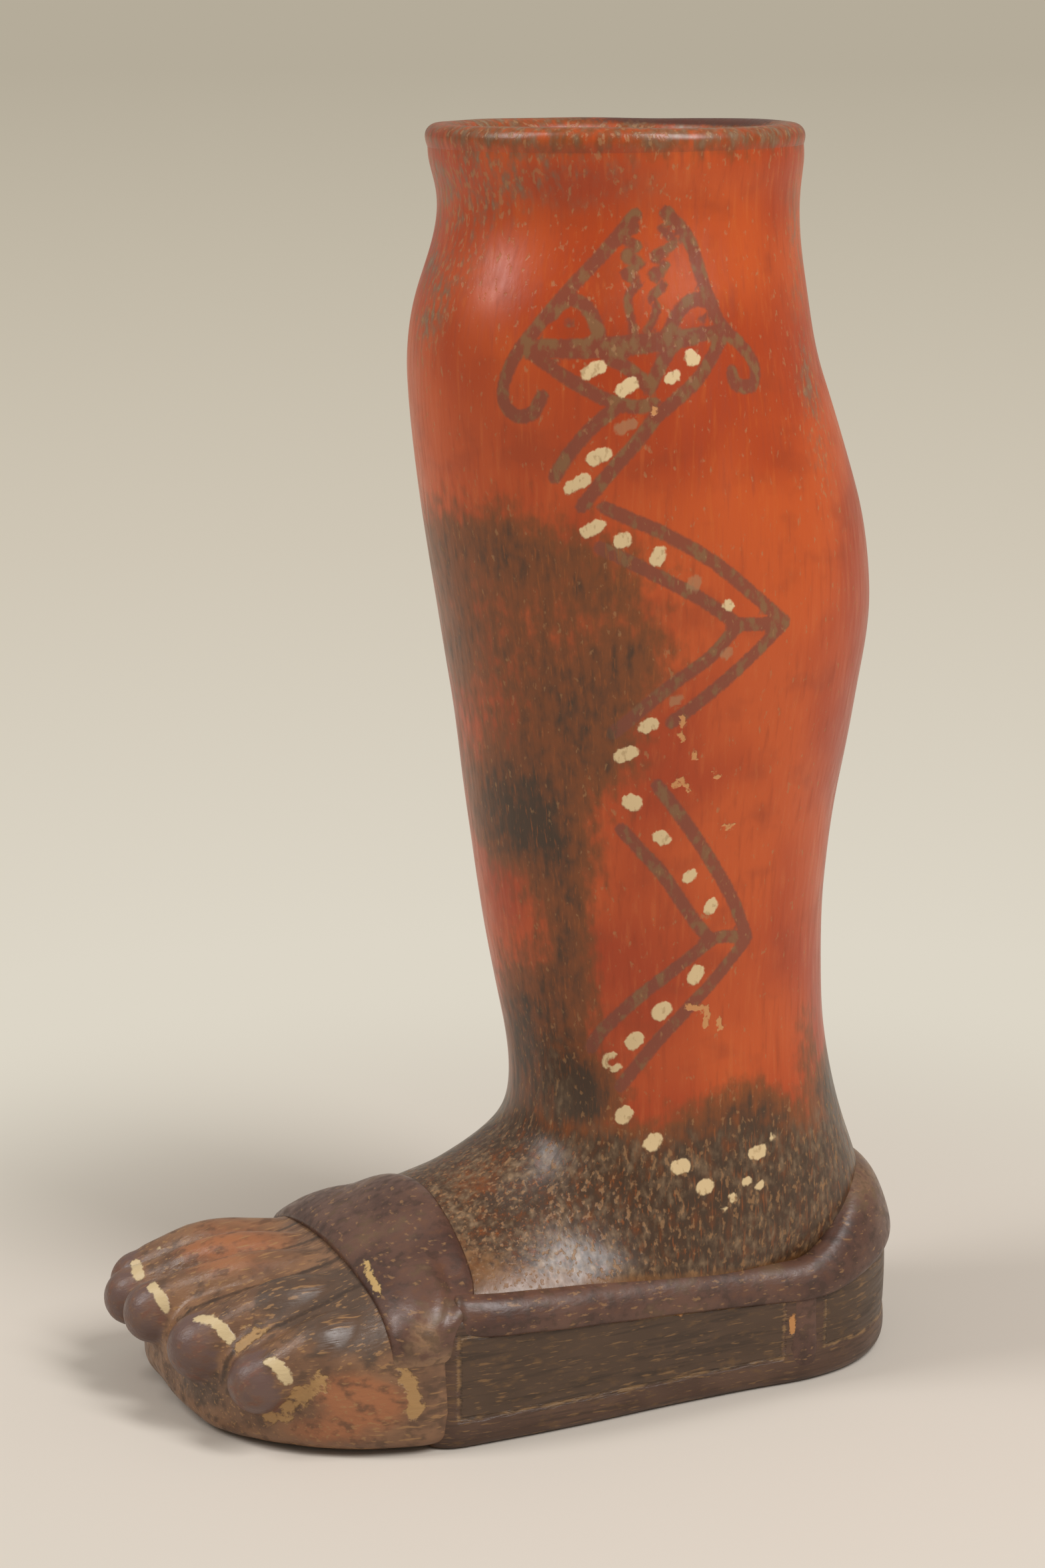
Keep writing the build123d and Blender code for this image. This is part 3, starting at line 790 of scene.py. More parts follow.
HOLLOW_DAB = [(922, 1583), (911, 1586), (909, 1599), (921, 1606), (929, 1600)]
HALF_HOLLOW = 0.7


def dab_gap(dabs):
    """Distance of the leg's vertices from the edge of the nearest dab."""
    gap = np.full(len(leg_spots), FAR_OFF)
    for across, down, pull_across, pull_down, half_width in dabs:
        pull = [(across - pull_across, down - pull_down), (across + pull_across, down + pull_down)]
        gap = np.minimum(gap, gap_to(leg_spots, leg_lay, [pull], half_width, LINE_STEP))
    return gap


dot_gap = np.minimum(dab_gap(DABS), gap_to(leg_spots, leg_lay, [HOLLOW_DAB], HALF_HOLLOW))
faint_gap = dab_gap(FAINT_DABS)
print("dots:", len(DABS) + len(FAINT_DABS) + 1)

# %% [markdown]
# # Smoke
# Where flames licked the pot in the open fire, carbon left dark clouds, streaked by the burnishing strokes.
# The foot lay in the embers and is dark all over. Noise alone would scatter the clouds anywhere, so each is
# a soft ball about its own place in the photograph. Clouds on the far side of the leg can't be seen and are
# guessed.

# %% Smoke the leg
SMOKE_CLOUDS = [
    # place in the photograph, half width and half height in millimetres, strength
    (660, 830, 16.0, 15.0, 0.45),
    (740, 815, 14.0, 11.0, 0.4),
    (850, 835, 20.0, 13.0, 0.5),
    (945, 985, 12.0, 13.0, 0.5),
    (690, 990, 16.0, 24.0, 0.4),
    (800, 990, 20.0, 22.0, 0.42),
    (880, 1060, 17.0, 13.0, 0.3),
    (735, 1225, 16.0, 17.0, 0.85),
    (820, 1235, 14.0, 19.0, 0.72),
    (915, 1145, 11.0, 10.0, 0.6),
    (855, 1420, 7.0, 17.0, 0.7),
    (805, 1555, 15.0, 22.0, 1.0),
    (865, 1650, 13.0, 10.0, 0.8),
    (775, 1650, 14.0, 14.0, 0.8),
    (1225, 1660, 9.0, 28.0, 0.6),
]
FAR_CLOUDS = [
    # middle and half sizes in millimetres, strength
    ((15.0, -40.0, 222.0), 22.0, 20.0, 0.55),
    ((28.0, -24.0, 200.0), 18.0, 26.0, 0.4),
    ((34.0, -12.0, 180.0), 14.0, 28.0, 0.25),
    ((-34.0, -36.0, 150.0), 18.0, 26.0, 0.5),
    ((-14.0, -36.0, 128.0), 14.0, 18.0, 0.35),
    ((12.0, -30.0, 104.0), 16.0, 30.0, 0.8),
    ((-46.0, -18.0, 96.0), 12.0, 24.0, 0.7),
    ((-50.0, 10.0, 92.0), 10.0, 20.0, 0.45),
]
# The ankle is smoked below one height and clear above another. On the far side the two lie further apart
NEAR_SMOKED, NEAR_CLEAR = 58.0, 80.0
FAR_SMOKED, FAR_CLEAR = 50.0, 104.0
ANKLE_SMOKE, RIM_SMOKE = 1.18, 0.5
# Sizes of the swirls and drifts in the smoke, and how far they lift its edge
SWIRL_SIZE, SWIRL_LIFT, SWIRL_SHARE = 21.0, 14.0, 0.5
DRIFT_SIZE, DRIFT_LIFT = 38.0, 30.0
RIM_SMOKED, RIM_TOP = 288.0, 299.0
HIDDEN_FROM, HIDDEN_TO = -5.0, 25.0


def along(spots, way):
    """How far spots lie along a level direction."""
    return spots[:, :2] @ np.array(way.xy)


def rim_smoke(spots):
    """Smoke towards the lip."""
    return RIM_SMOKE * eased(spots[:, 2], RIM_SMOKED, RIM_TOP)


leg_x, leg_z = leg_spots[:, 0], leg_spots[:, 2]
smoke = cloud_over(leg_spots, clouds_on(leg_lay, SMOKE_CLOUDS) + FAR_CLOUDS)
swirl, drift = swirls(leg_spots, SWIRL_SIZE), swirls(leg_spots, DRIFT_SIZE)
hidden = eased(along(leg_spots, -to_camera), HIDDEN_FROM, HIDDEN_TO)
ankle_edge = leg_z + SWIRL_LIFT * swirl + DRIFT_LIFT * hidden * drift
smoked_edge, clear_edge = mix(NEAR_SMOKED, FAR_SMOKED, hidden), mix(NEAR_CLEAR, FAR_CLEAR, hidden)
ankle = ANKLE_SMOKE * (1.0 - eased(ankle_edge, smoked_edge, clear_edge))
smoke = np.maximum(smoke * (1.0 + SWIRL_SHARE * swirl), ankle) + rim_smoke(leg_spots)
print("smoked vertices:", int((smoke > 0.5).sum()), "of", len(leg_spots))

# %% [markdown]
# # Wear and chips
# Handling has rubbed the neck, the knee and the ankle, and a few chips show the pale clay below the slip.
# In the crease above the band, where the pebble didn't reach, the slip is dull and tan. The lip is smoked
# and rubbed like the leg, and is purple where its top turns away to the far right. All of it is kept as
# numbers on the vertices.

# %% Wear the leg and the lip
WORN_PLACES = [
    # place in the photograph, half width and half height in millimetres, strength
    (650, 430, 14.0, 24.0, 0.8),
    (690, 300, 18.0, 14.0, 0.75),
    (800, 250, 34.0, 10.0, 0.55),
    (1195, 360, 12.0, 30.0, 0.6),
    (1225, 640, 9.0, 24.0, 0.7),
    (960, 450, 26.0, 26.0, 0.4),
    (830, 1620, 10.0, 24.0, 0.6),
]
CHIPS = [
    [(1024, 1076), (1025, 1084)],
    [(1020, 1100), (1024, 1110)],
    [(1042, 1130), (1041, 1138)],
    [(1012, 1180), (1022, 1170), (1034, 1184)],
    [(1072, 1161), (1078, 1164)],
    [(1085, 1242), (1101, 1240)],
    [(981, 614), (983, 622)],
    [(1031, 1511), (1060, 1513)],
    [(1061, 1515), (1059, 1540)],
    [(1079, 1530), (1080, 1544)],
]
HALF_CHIP = 0.75
RUBBED, RIM_RUBBED = 0.75, 290.0
ANKLE_RUBBED, ANKLE_WHOLE = 52.0, 84.0
# The crease over the edge strip climbs from the back to the front, and widens there
CREASE_HEIGHT, CREASE_CLIMB, CREASE_BACK, CREASE_FRONT = 30.0, 7.0, -30.0, 58.0
CREASE_START, CREASE_WIDTH, CREASE_SPREAD = -1.0, 3.0, 9.0
SPREAD_FROM, SPREAD_TO = 25.0, 55.0
PURPLE_FROM, PURPLE_TO, PURPLE_LEAST = 297.0, 299.6, 0.25
PURPLE_FAR, PURPLE_RIGHT = 30.0, 25.0


def rim_wear(spots):
    """Wear towards the lip."""
    return RUBBED * eased(spots[:, 2], RIM_RUBBED, RIM_TOP)


wear = cloud_over(leg_spots, clouds_on(leg_lay, WORN_PLACES))
wear = np.maximum(wear, RUBBED * (1.0 - eased(leg_z, ANKLE_RUBBED, ANKLE_WHOLE)))
wear = np.maximum(wear, rim_wear(leg_spots))
over_strip = leg_z - CREASE_HEIGHT - CREASE_CLIMB * eased(leg_x, CREASE_BACK, CREASE_FRONT)
crease_end = CREASE_WIDTH + CREASE_SPREAD * eased(leg_x, SPREAD_FROM, SPREAD_TO)
crease = 1.0 - eased(over_strip, CREASE_START, crease_end)
chip_gap = gap_to(leg_spots, leg_lay, CHIPS, HALF_CHIP)
inside = np.zeros(len(leg_spots))
inside[skin_count:] = 1.0
mark(leg, line=line_gap, dot=dot_gap, faint=faint_gap, chip=chip_gap)
mark(leg, smoke=smoke, wear=wear, crease=crease, inside=inside)
lip_spots = places(lip)
lip_far = eased(along(lip_spots, -to_camera), 0.0, PURPLE_FAR)
lip_right = eased(along(lip_spots, to_right), -PURPLE_RIGHT, PURPLE_RIGHT)
lip_purple = mix(PURPLE_LEAST, 1.0, lip_far * lip_right)
lip_purple *= eased(lip_spots[:, 2], PURPLE_FROM, PURPLE_TO)
mark(lip, line=FAR_OFF, dot=FAR_OFF, faint=FAR_OFF, chip=FAR_OFF)
mark(lip, smoke=rim_smoke(lip_spots), purple=lip_purple, wear=rim_wear(lip_spots))
print("worn vertices:", int((wear > 0.5).sum()), "of", len(leg_spots))

# %% [markdown]
# # Frames on the walls
# Two shallow lines frame a panel on each wall of the sandal. They are rectangles in plain millimetres, bent
# round the heel by the wall itself. The one on the side sinks towards the heel with the top of its wall.

# %% Frame the walls
SIDE_PANEL = (-28.5, 58.0, 7.4, 27.8)
HEEL_PANEL = (-99.0, -40.0, 8.4, 24.0)
# The front end of the side panel, and how it sinks behind it: over what length, how far, and at what heights
SINK_START, SINK_LENGTH, PANEL_SINK = 57.5, 86.0, 6.0
SINK_LOW, SINK_HIGH = 7.0, 22.0
WALL_CHIPS = [[(1189, 1977), (1190, 1998)], [(1010, 1966), (1022, 1970)]]
HALF_FOOT_CHIP = 0.9


def frame_gap(spots, panel):
    """Distance of spots from a panel's frame, seen from the side, and whether they lie within it."""
    low_x, high_x, low_z, high_z = panel
    out_x = np.maximum(low_x - spots[:, 0], spots[:, 0] - high_x)
    out_z = np.maximum(low_z - spots[:, 2], spots[:, 2] - high_z)
    outside = np.hypot(np.maximum(out_x, 0.0), np.maximum(out_z, 0.0))
    return np.abs(outside + np.minimum(np.maximum(out_x, out_z), 0.0)), np.maximum(out_x, out_z) < 0.0


block_spots = places(block)
sunk = PANEL_SINK * np.clip((SINK_START - block_spots[:, 0]) / SINK_LENGTH, 0.0, 1.0)
level_spots = block_spots.copy()
level_spots[:, 2] += sunk * eased(block_spots[:, 2], SINK_LOW, SINK_HIGH)
side_gap, in_side = frame_gap(level_spots, SIDE_PANEL)
heel_gap, in_heel = frame_gap(block_spots, HEEL_PANEL)
wall_chips = gap_to(block_spots, lay_of(block), WALL_CHIPS, HALF_FOOT_CHIP)
mark(block, groove=np.minimum(side_gap, heel_gap), panel=(in_side | in_heel) * 1.0, chip=wall_chips)
print("vertices within the frames:", int((in_side | in_heel).sum()))

# %% [markdown]
# # Marks on the toes, the strap and the band
# The toes end in purple knobs, with a cream stripe for each nail. Bare clay shows under the little toe and by
# the end of the strap, and the grooves between the toes are darkened with painted shade. The strap is worn at
# its foot, and a paler patch on its bulge is partly rubbed slip and partly a painted highlight. The band is
# worn along its top.

# %% Mark the toes, the strap and the band
NAILS = [
    [(403, 2043), (420, 2054), (432, 2071)],
    [(300, 1978), (325, 1985), (345, 2009)],
    [(229, 1928), (238, 1942), (248, 1962)],
    [(204, 1895), (208, 1915)],
]
FAR_NAIL = [(104.0, -36.5, 27.6), (103.0, -41.5, 26.6)]
BARE_CLAY = [
    [(398, 2125), (430, 2116), (462, 2090), (484, 2068)],
    [(600, 2052), (618, 2080), (622, 2125)],
    [(424, 2110), (452, 2086)],
    [(360, 2020), (390, 1990)],
]
HALF_NAIL, HALF_BARE = 1.25, 2.0
STRAP_CHIPS = [[(548, 1893), (556, 1915), (569, 1942)], [(552, 1905), (562, 1930)]]
RED_PLACES = [
    # place in the photograph, half width and half height in millimetres, strength
    (330, 1870, 20.0, 4.0, 0.9),
    (560, 2110, 10.0, 6.0, 0.9),
    (520, 2090, 8.0, 5.0, 0.7),
    (480, 2150, 12.0, 4.0, 0.7),
]
DARK_PLACES = [
    # the same measures
    (440, 1960, 9.0, 6.0, 0.6),
    (500, 2000, 10.0, 6.0, 0.8),
    (520, 1940, 7.0, 8.0, 0.7),
    (380, 2060, 6.0, 6.0, 0.6),
    (300, 2085, 12.0, 7.0, 0.8),
    (480, 1925, 16.0, 10.0, 0.75),
    (570, 2010, 7.0, 10.0, 0.6),
]
# Partly rubbed slip, partly a painted highlight on the strap's bulge where it turns down to the wall.
STRAP_WEAR_AND_HIGHLIGHT = [(637, 2005, 5.0, 6.0, 0.8)]
STRAP_BARE, STRAP_WHOLE = 20.0, 29.0
BAND_RUB, BAND_WHOLE, BAND_RUBBED = 0.55, 35.0, 43.0
TOE_SEAM, SEAM_LOW, SEAM_HIGH = 3.0, 9.0, 17.0

toe_lay, toe_spots = lay_of(forefoot), places(forefoot)
tips = [np.array(path[-1]) for path in TOES.values()]
tip_gap = np.min([np.linalg.norm(toe_spots - tip[:3], axis=1) - tip[3] for tip in tips], axis=0)
paths = [[np.array(spot[:3]) for spot in filled_in(path, TOE_STEP)] for path in TOES.values()]
toe_gaps = np.sort([distance_to(toe_spots, [path]) for path in paths], axis=0)
# Painted shade: how near each spot lies to the groove between two toes, which the finish darkens.
between = 1.0 - eased(toe_gaps[1] - toe_gaps[0], 0.0, TOE_SEAM)
between *= eased(toe_spots[:, 2], SEAM_LOW, SEAM_HIGH)
nails = strokes_on(toe_lay, NAILS, NAIL_STEP) + [[np.array(spot) for spot in FAR_NAIL]]
nail_gap = distance_to(toe_spots, nails) - HALF_NAIL
bare_gap = gap_to(toe_spots, toe_lay, BARE_CLAY, HALF_BARE)
red = cloud_over(toe_spots, clouds_on(toe_lay, RED_PLACES))
dark = cloud_over(toe_spots, clouds_on(toe_lay, DARK_PLACES))
mark(forefoot, tip=tip_gap, nail=nail_gap, bare=bare_gap, red=red, dark=dark, between=between)

strap_lay, strap_spots = lay_of(strap), places(strap)
strap_chips = gap_to(strap_spots, strap_lay, STRAP_CHIPS, HALF_FOOT_CHIP)
strap_wear_and_highlight = cloud_over(strap_spots, clouds_on(strap_lay, STRAP_WEAR_AND_HIGHLIGHT))
strap_low = 1.0 - eased(strap_spots[:, 2], STRAP_BARE, STRAP_WHOLE)
mark(strap, chip=strap_chips, low=np.maximum(strap_wear_and_highlight, strap_low))
mark(band, chip=FAR_OFF, low=BAND_RUB * eased(places(band)[:, 2], BAND_WHOLE, BAND_RUBBED))
for strip in corner_strips:
    mark(strip, chip=FAR_OFF, low=0.0)
print("marks on the foot:", len(nails), "nails,", len(BARE_CLAY), "bare places")

# %% [markdown]
# # Finishes
# Slip that is burnished with a pebble shines softly and shows the strokes of the pebble. Each finish starts
# from noises whose grains have sizes in millimetres, long in the direction in which the pebble or the
# wiping hand moved. The colour is then laid on in the potter's own order: slip, paint, smoke, wear.


# %% Helpers for finishes
SHEEN = 0.5


def linear(code):
    """A linear colour from an sRGB hex code."""
    parts = [int(code[i:i + 2], 16) / 255.0 for i in (1, 3, 5)]
    return [p / 12.92 if p <= 0.04045 else ((p + 0.055) / 1.055) ** 2.4 for p in parts] + [1.0]


def add(tree, kind, inputs, **settings):
    """Adds a node with its settings, puts values or outputs on its inputs, and gives its own outputs."""
    node = tree.nodes.new("ShaderNode" + kind)
    for name, setting in settings.items():
        setattr(node, name, setting)
    for socket, value in inputs.items():
        if isinstance(value, bpy.types.NodeSocket):
            tree.links.new(value, node.inputs[socket])
        else:
            node.inputs[socket].default_value = value
    return node.outputs


def new_finish(name, grains, marks):
    """A new material with its noises, each of a grain size in millimetres and a detail, and its marks."""
    material = bpy.data.materials.new(name)
    material.use_nodes = True
    tree = material.node_tree
    place = add(tree, "TexCoord", {})["Object"]
    fields = {}
    for grain, (size, detail) in grains.items():
        scaled = add(tree, "Mapping", {"Vector": place, "Scale": [1.0 / (side * MM) for side in size]})[0]
        fields[grain] = add(tree, "TexNoise", {"Vector": scaled, "Scale": 1.0, "Detail": detail})[0]
    for mark_name in marks:
        fields[mark_name] = add(tree, "Attribute", {}, attribute_name=mark_name)["Fac"]
    return material, SimpleNamespace(**fields)


def blend(first, *more):
    """A field with other fields added to it, each of those times a weight."""
    for field, weight in more:
        first = add(field.id_data, "Math", {0: field, 1: weight, 2: first}, operation="MULTIPLY_ADD")[0]
    return first


def mask(field, low, high, top=1.0):
    """A field as a share from 0 at low to the top at high, with soft ends. Low may be the larger."""
    sockets = {0: field, 1: low, 2: high, 4: top}
    return add(field.id_data, "MapRange", sockets, interpolation_type="SMOOTHSTEP")[0]


def close(material, ground, coats, polish, height, relief):
    """Lays coats of colour on a ground, each where its mask says, and gives the material polish and relief.

    Polish is a field, its low and high end, and the roughness at each end.
    """
    tree = material.node_tree
    shader = tree.nodes["Principled BSDF"]
    colour = linear(ground)
    for share, code in coats:
        colour = add(tree, "Mix", {0: share, 6: colour, 7: linear(code)}, data_type="RGBA")[2]
    roughness = add(tree, "MapRange", dict(enumerate(polish)))[0]
    bump = add(tree, "Bump", {"Height": height, "Distance": relief * MM})[0]
    for socket, value in (("Base Color", colour), ("Roughness", roughness), ("Normal", bump)):
        tree.links.new(value, shader.inputs[socket])
    shader.inputs["Specular IOR Level"].default_value = SHEEN


def cover(material, *pieces):
    """Puts a material on pieces, in place of any that they had."""
    for piece in pieces:
        piece.data.materials.clear()
        piece.data.materials.append(material)


print("a hex code of #808080 is", round(linear("#808080")[0], 3), "in linear light")

# %% [markdown]
# # Burnished red slip
# The red slip is a fine iron-rich clay wash. The pebble ran up and down the leg, so its grain is long in z.
# Carbon hides the red brokenly rather than evenly, because the pebble closed the surface unevenly. That
# gives the eye the flickering orange, brown and black of a fire cloud.


# %% Make the red slip
def red_slip():
    """The slip of the leg and lip, with the serpent, the smoke, the wear, some painted highlight and the bare
    inside.
    """
    grains = {
        "cloud": ((34.0, 34.0, 40.0), 2.0),
        "streak": ((1.5, 1.5, 15.0), 3.0),
        "grain": ((0.8, 0.8, 1.0), 2.0),
        "fleck": ((1.2, 1.2, 2.2), 3.0),
        "mottle": ((2.6, 2.6, 4.0), 5.0),
        "scratch": ((0.6, 0.6, 7.0), 2.0),
        "fibre": ((1.6, 1.6, 3.0), 6.0),
        "patch": ((14.0, 14.0, 10.0), 3.0),
    }
    marks = ("line", "dot", "faint", "chip", "smoke", "wear", "crease", "inside", "purple")
    name = "slip of red clay, burnished with a pebble and fired in the open"
    material, fields = new_finish(name, grains, marks)
    line = mask(blend(fields.line, (fields.grain, 0.8)), 0.8, 0.05, 0.85)
    dot = mask(blend(fields.dot, (fields.fleck, 1.5)), 1.0, 0.5)
    chip = mask(blend(fields.chip, (fields.grain, 1.8)), 1.1, 0.7)
    smoked = blend(fields.smoke, (fields.streak, 0.35), (fields.mottle, 0.8), (fields.cloud, 0.3))
    rubbed = blend(fields.fibre, (fields.mottle, 0.6), (fields.patch, 0.6))
    in_line = mask(fields.line, 0.4, -0.4, 0.65)
    fleck = mask(blend(fields.fleck, (fields.wear, 0.1)), 0.63, 0.74, 0.5)
    coats = (
        (mask(fields.cloud, 0.35, 0.65), "#C2521C"),
        (mask(fields.patch, 0.5, 0.72, 0.45), "#963A14"),
        (mask(fields.streak, 0.52, 0.75, 0.3), "#8C3410"),
        (mask(fields.streak, 0.46, 0.25, 0.3), "#CA6830"),
        (mask(smoked, 0.88, 1.36, 0.9), "#74421C"),
        (line, "#7C4230"),
        (mask(blend(fields.mottle, (fields.wear, 0.15)), 0.5, 0.64, in_line), "#85653F"),
        (mask(blend(smoked, (fields.mottle, 0.35), (fields.streak, 0.35)), 1.62, 2.3, 0.9), "#3A2D20"),
        (mask(fields.line, 0.4, -0.4, mask(smoked, 1.3, 1.6, 0.5)), "#5E3A28"),
        (mask(fields.scratch, 0.58, 0.72, mask(smoked, 1.0, 1.3, 0.5)), "#9C5420"),
        (mask(rubbed, 0.98, 1.4, mask(fields.wear, 0.3, 0.75, 0.85)), "#7A6148"),
        # Paler patches on the rubbed places: partly rubbed slip, partly a painted highlight.
        (mask(rubbed, 1.22, 1.5, mask(fields.wear, 0.3, 0.75, 0.55)), "#9A7E60"),
        (fleck, "#A87C50"),
        (mask(blend(fields.crease, (fields.fibre, 1.6)), 1.0, 1.8, 0.65), "#80562F"),
        (mask(blend(fields.faint, (fields.fleck, 2.6)), 1.6, 0.8, 0.55), "#A88660"),
        (dot, "#DCC193"),
        (mask(fields.fleck, 0.56, 0.68, mask(fields.dot, 0.0, -0.5, 0.5)), "#A5855A"),
        (chip, "#CB8E58"),
        (mask(blend(fields.purple, (fields.fleck, 0.6)), 0.55, 1.0, 0.9), "#4B2820"),
        (fields.inside, "#6E3620"),
    )
    worn = blend(fields.streak, (fleck, 1.0), (dot, 0.6), (chip, 1.0))
    polish = (worn, 0.3, 1.3, 0.27, 0.6)
    height = blend(fields.streak, (dot, 1.2), (chip, -1.6), (fleck, -1.0), (fields.mottle, 0.6))
    close(material, "#A93C0E", coats, polish, height, 0.06)
    return material


cover(red_slip(), leg, lip)
print("red slip on the leg and the lip")

# %% [markdown]
# # Smoked clay
# The walls of the sandal were wiped level and lay in the embers. They are dull, nearly black and lined by
# the wiping, with pale clay where the two frames were cut in and where the foot was handled.


# %% Make the smoked clay
def smoked_clay():
    """The clay of the sandal's walls and sole."""
    grains = {
        "cloud": ((16.0, 16.0, 10.0), 2.0),
        "wipe": ((16.0, 16.0, 1.1), 4.0),
        "grain": ((0.8, 0.8, 0.8), 2.0),
        "mottle": ((4.0, 4.0, 1.6), 5.0),
        "scratch": ((4.5, 4.5, 0.6), 3.0),
    }
    marks = ("groove", "panel", "chip")
    material, fields = new_finish("smoked clay, wiped and fired in the embers", grains, marks)
    groove = mask(blend(fields.groove, (fields.scratch, 1.8)), 1.7, 1.1)
    chip = mask(blend(fields.chip, (fields.grain, 1.2)), 0.8, 0.4)
    coats = (
        (mask(fields.cloud, 0.35, 0.65), "#5C4233"),
        (mask(fields.panel, 0.2, 0.8, 0.6), "#4A3928"),
        (mask(fields.wipe, 0.48, 0.68, 0.55), "#2E2219"),
        (mask(fields.mottle, 0.54, 0.72, 0.55), "#6E5030"),
        (mask(fields.scratch, 0.59, 0.7, 0.7), "#86643F"),
        (mask(fields.mottle, 0.42, 0.6, mask(fields.groove, 0.8, 0.2, 0.7)), "#94724A"),
        (chip, "#C0864E"),
    )
    polish = (fields.wipe, 0.3, 0.7, 0.36, 0.52)
    height = blend(fields.wipe, (groove, -1.6), (chip, -2.0), (fields.mottle, 0.8))
    close(material, "#4E3629", coats, polish, height, 0.12)
    return material


cover(smoked_clay(), block)
print("smoked clay on the block")

# %% [markdown]
# # Purple slip
# A slip rich in iron and manganese covers the bands and the strap. It shines a little more than the walls and
# is rubbed through to tan. At the foot of the strap it is worn away, and the tan clay shows. The same tan, on
# the strap's bulge, is partly a painted highlight.


# %% Make the purple slip
def purple_slip():
    """The slip of the bands and the strap."""
    grains = {
        "cloud": ((18.0, 18.0, 14.0), 3.0),
        "grain": ((1.2, 1.2, 1.2), 2.0),
        "mottle": ((3.0, 3.0, 2.4), 5.0),
        "scratch": ((2.4, 2.4, 0.8), 3.0),
    }
    material, fields = new_finish("slip of purple clay, burnished and rubbed", grains, ("chip", "low"))
    chip = mask(blend(fields.chip, (fields.grain, 2.0)), 1.3, 0.8)
    worn = blend(fields.low, (fields.mottle, 1.2), (fields.cloud, 0.4))
    coats = (
        (mask(fields.cloud, 0.35, 0.65), "#66483B"),
        (mask(fields.mottle, 0.46, 0.3, 0.35), "#74503A"),
        # Tan of the worn slip. On the strap's bulge it is partly a painted highlight.
        (mask(worn, 1.1, 1.6, 0.85), "#967456"),
        (mask(fields.mottle, 0.48, 0.64, 0.6), "#3C291F"),
        (mask(blend(fields.cloud, (fields.mottle, 0.6)), 0.88, 1.06, 0.5), "#7C6044"),
        (mask(fields.scratch, 0.6, 0.69, 0.65), "#96704A"),
        (chip, "#C4A268"),
    )
    polish = (fields.mottle, 0.3, 0.7, 0.28, 0.48)
    height = blend(fields.mottle, (fields.scratch, -0.6), (chip, -2.0))
    close(material, "#50362D", coats, polish, height, 0.12)
    return material


cover(purple_slip(), band, strap, *corner_strips)
print("purple slip on the bands and the strap")

# %% [markdown]
# # Worn clay of the toes
# The toes carried red slip and purple tips, and are the part that touches things first. What is left is a
# patchwork of red, smoke and bare tan clay, over strokes that run along the toes.


# %% Make the clay of the toes
def toe_clay():
    """The slip and bare clay of the forefoot."""
    grains = {
        "cloud": ((12.0, 9.0, 9.0), 3.0),
        "grain": ((1.0, 1.0, 1.0), 2.0),
        "mottle": ((4.5, 2.6, 2.6), 5.0),
        "scratch": ((6.0, 0.8, 0.8), 2.0),
    }
    marks = ("tip", "nail", "bare", "red", "dark", "between")
    material, fields = new_finish("red and purple slip, rubbed down to the clay", grains, marks)
    tip = mask(blend(fields.tip, (fields.mottle, 5.0)), 3.7, 1.9, 0.92)
    nail = mask(blend(fields.nail, (fields.mottle, 2.5), (fields.grain, 1.2)), 2.15, 1.6)
    bare = mask(blend(fields.bare, (fields.mottle, 8.0), (fields.grain, 3.0)), 5.6, 4.4, 0.8)
    coats = (
        (mask(fields.cloud, 0.35, 0.65), "#8A6549"),
        (mask(blend(fields.red, (fields.mottle, 0.8)), 0.6, 1.2, 0.75), "#AA6A43"),
        (mask(fields.mottle, 0.48, 0.66, 0.65), "#4E3A2C"),
        (mask(blend(fields.dark, (fields.mottle, 0.8)), 0.7, 1.2, 0.75), "#4E3E33"),
        (mask(fields.scratch, 0.58, 0.68, 0.7), "#A27A50"),
        # Painted shade that darkens the grooves between the toes.
        (mask(blend(fields.between, (fields.grain, 0.6)), 0.6, 1.2, 0.75), "#3C2C22"),
        (tip, "#68504A"),
        (mask(fields.mottle, 0.52, 0.66, mask(fields.tip, 1.0, 0.0, 0.6)), "#7C5244"),
        (bare, "#B48D5A"),
        (nail, "#CDB68C"),
    )
    worn = blend(fields.mottle, (bare, 0.5))
    polish = (worn, 0.3, 0.9, 0.3, 0.6)
    height = blend(fields.scratch, (fields.mottle, 1.2), (bare, -2.0), (nail, 1.0))
    close(material, "#6C4E3A", coats, polish, height, 0.12)
    return material


cover(toe_clay(), forefoot)
print("worn slip on the toes")

# %% [markdown]
# # Floor and light
# The cup stands on a pale sheet that runs away evenly to the top of the picture. A sheet hung behind would
# hide the cup from other sides, so the floor itself is very wide. Close by it is plain matt paper, which
# takes the shadow. Far away it shows a colour of its own to the eye and in reflections, and doesn't light the
# clay. That colour darkens towards the horizon as painted shade.

# %% Spread the floor
FLOOR_PAPER = "#D6CDC2"
# Distances on the floor are in metres. The backdrop's colours are given by the share of the way to the
# horizon, half of which lies at HALF_WAY
FLOOR_RADIUS, HALF_WAY = 60.0, 1.5
NEAR_PAPER, FAR_PAPER = 0.10, 0.34
# Painted shade: the backdrop's glow darkens towards the horizon.
BACKDROP = ((0.0, "#DDD6C7"), (0.21, "#DDD6C7"), (0.48, "#CFC6B5"), (0.72, "#C2B9A7"), (0.93, "#B5AC9A"))


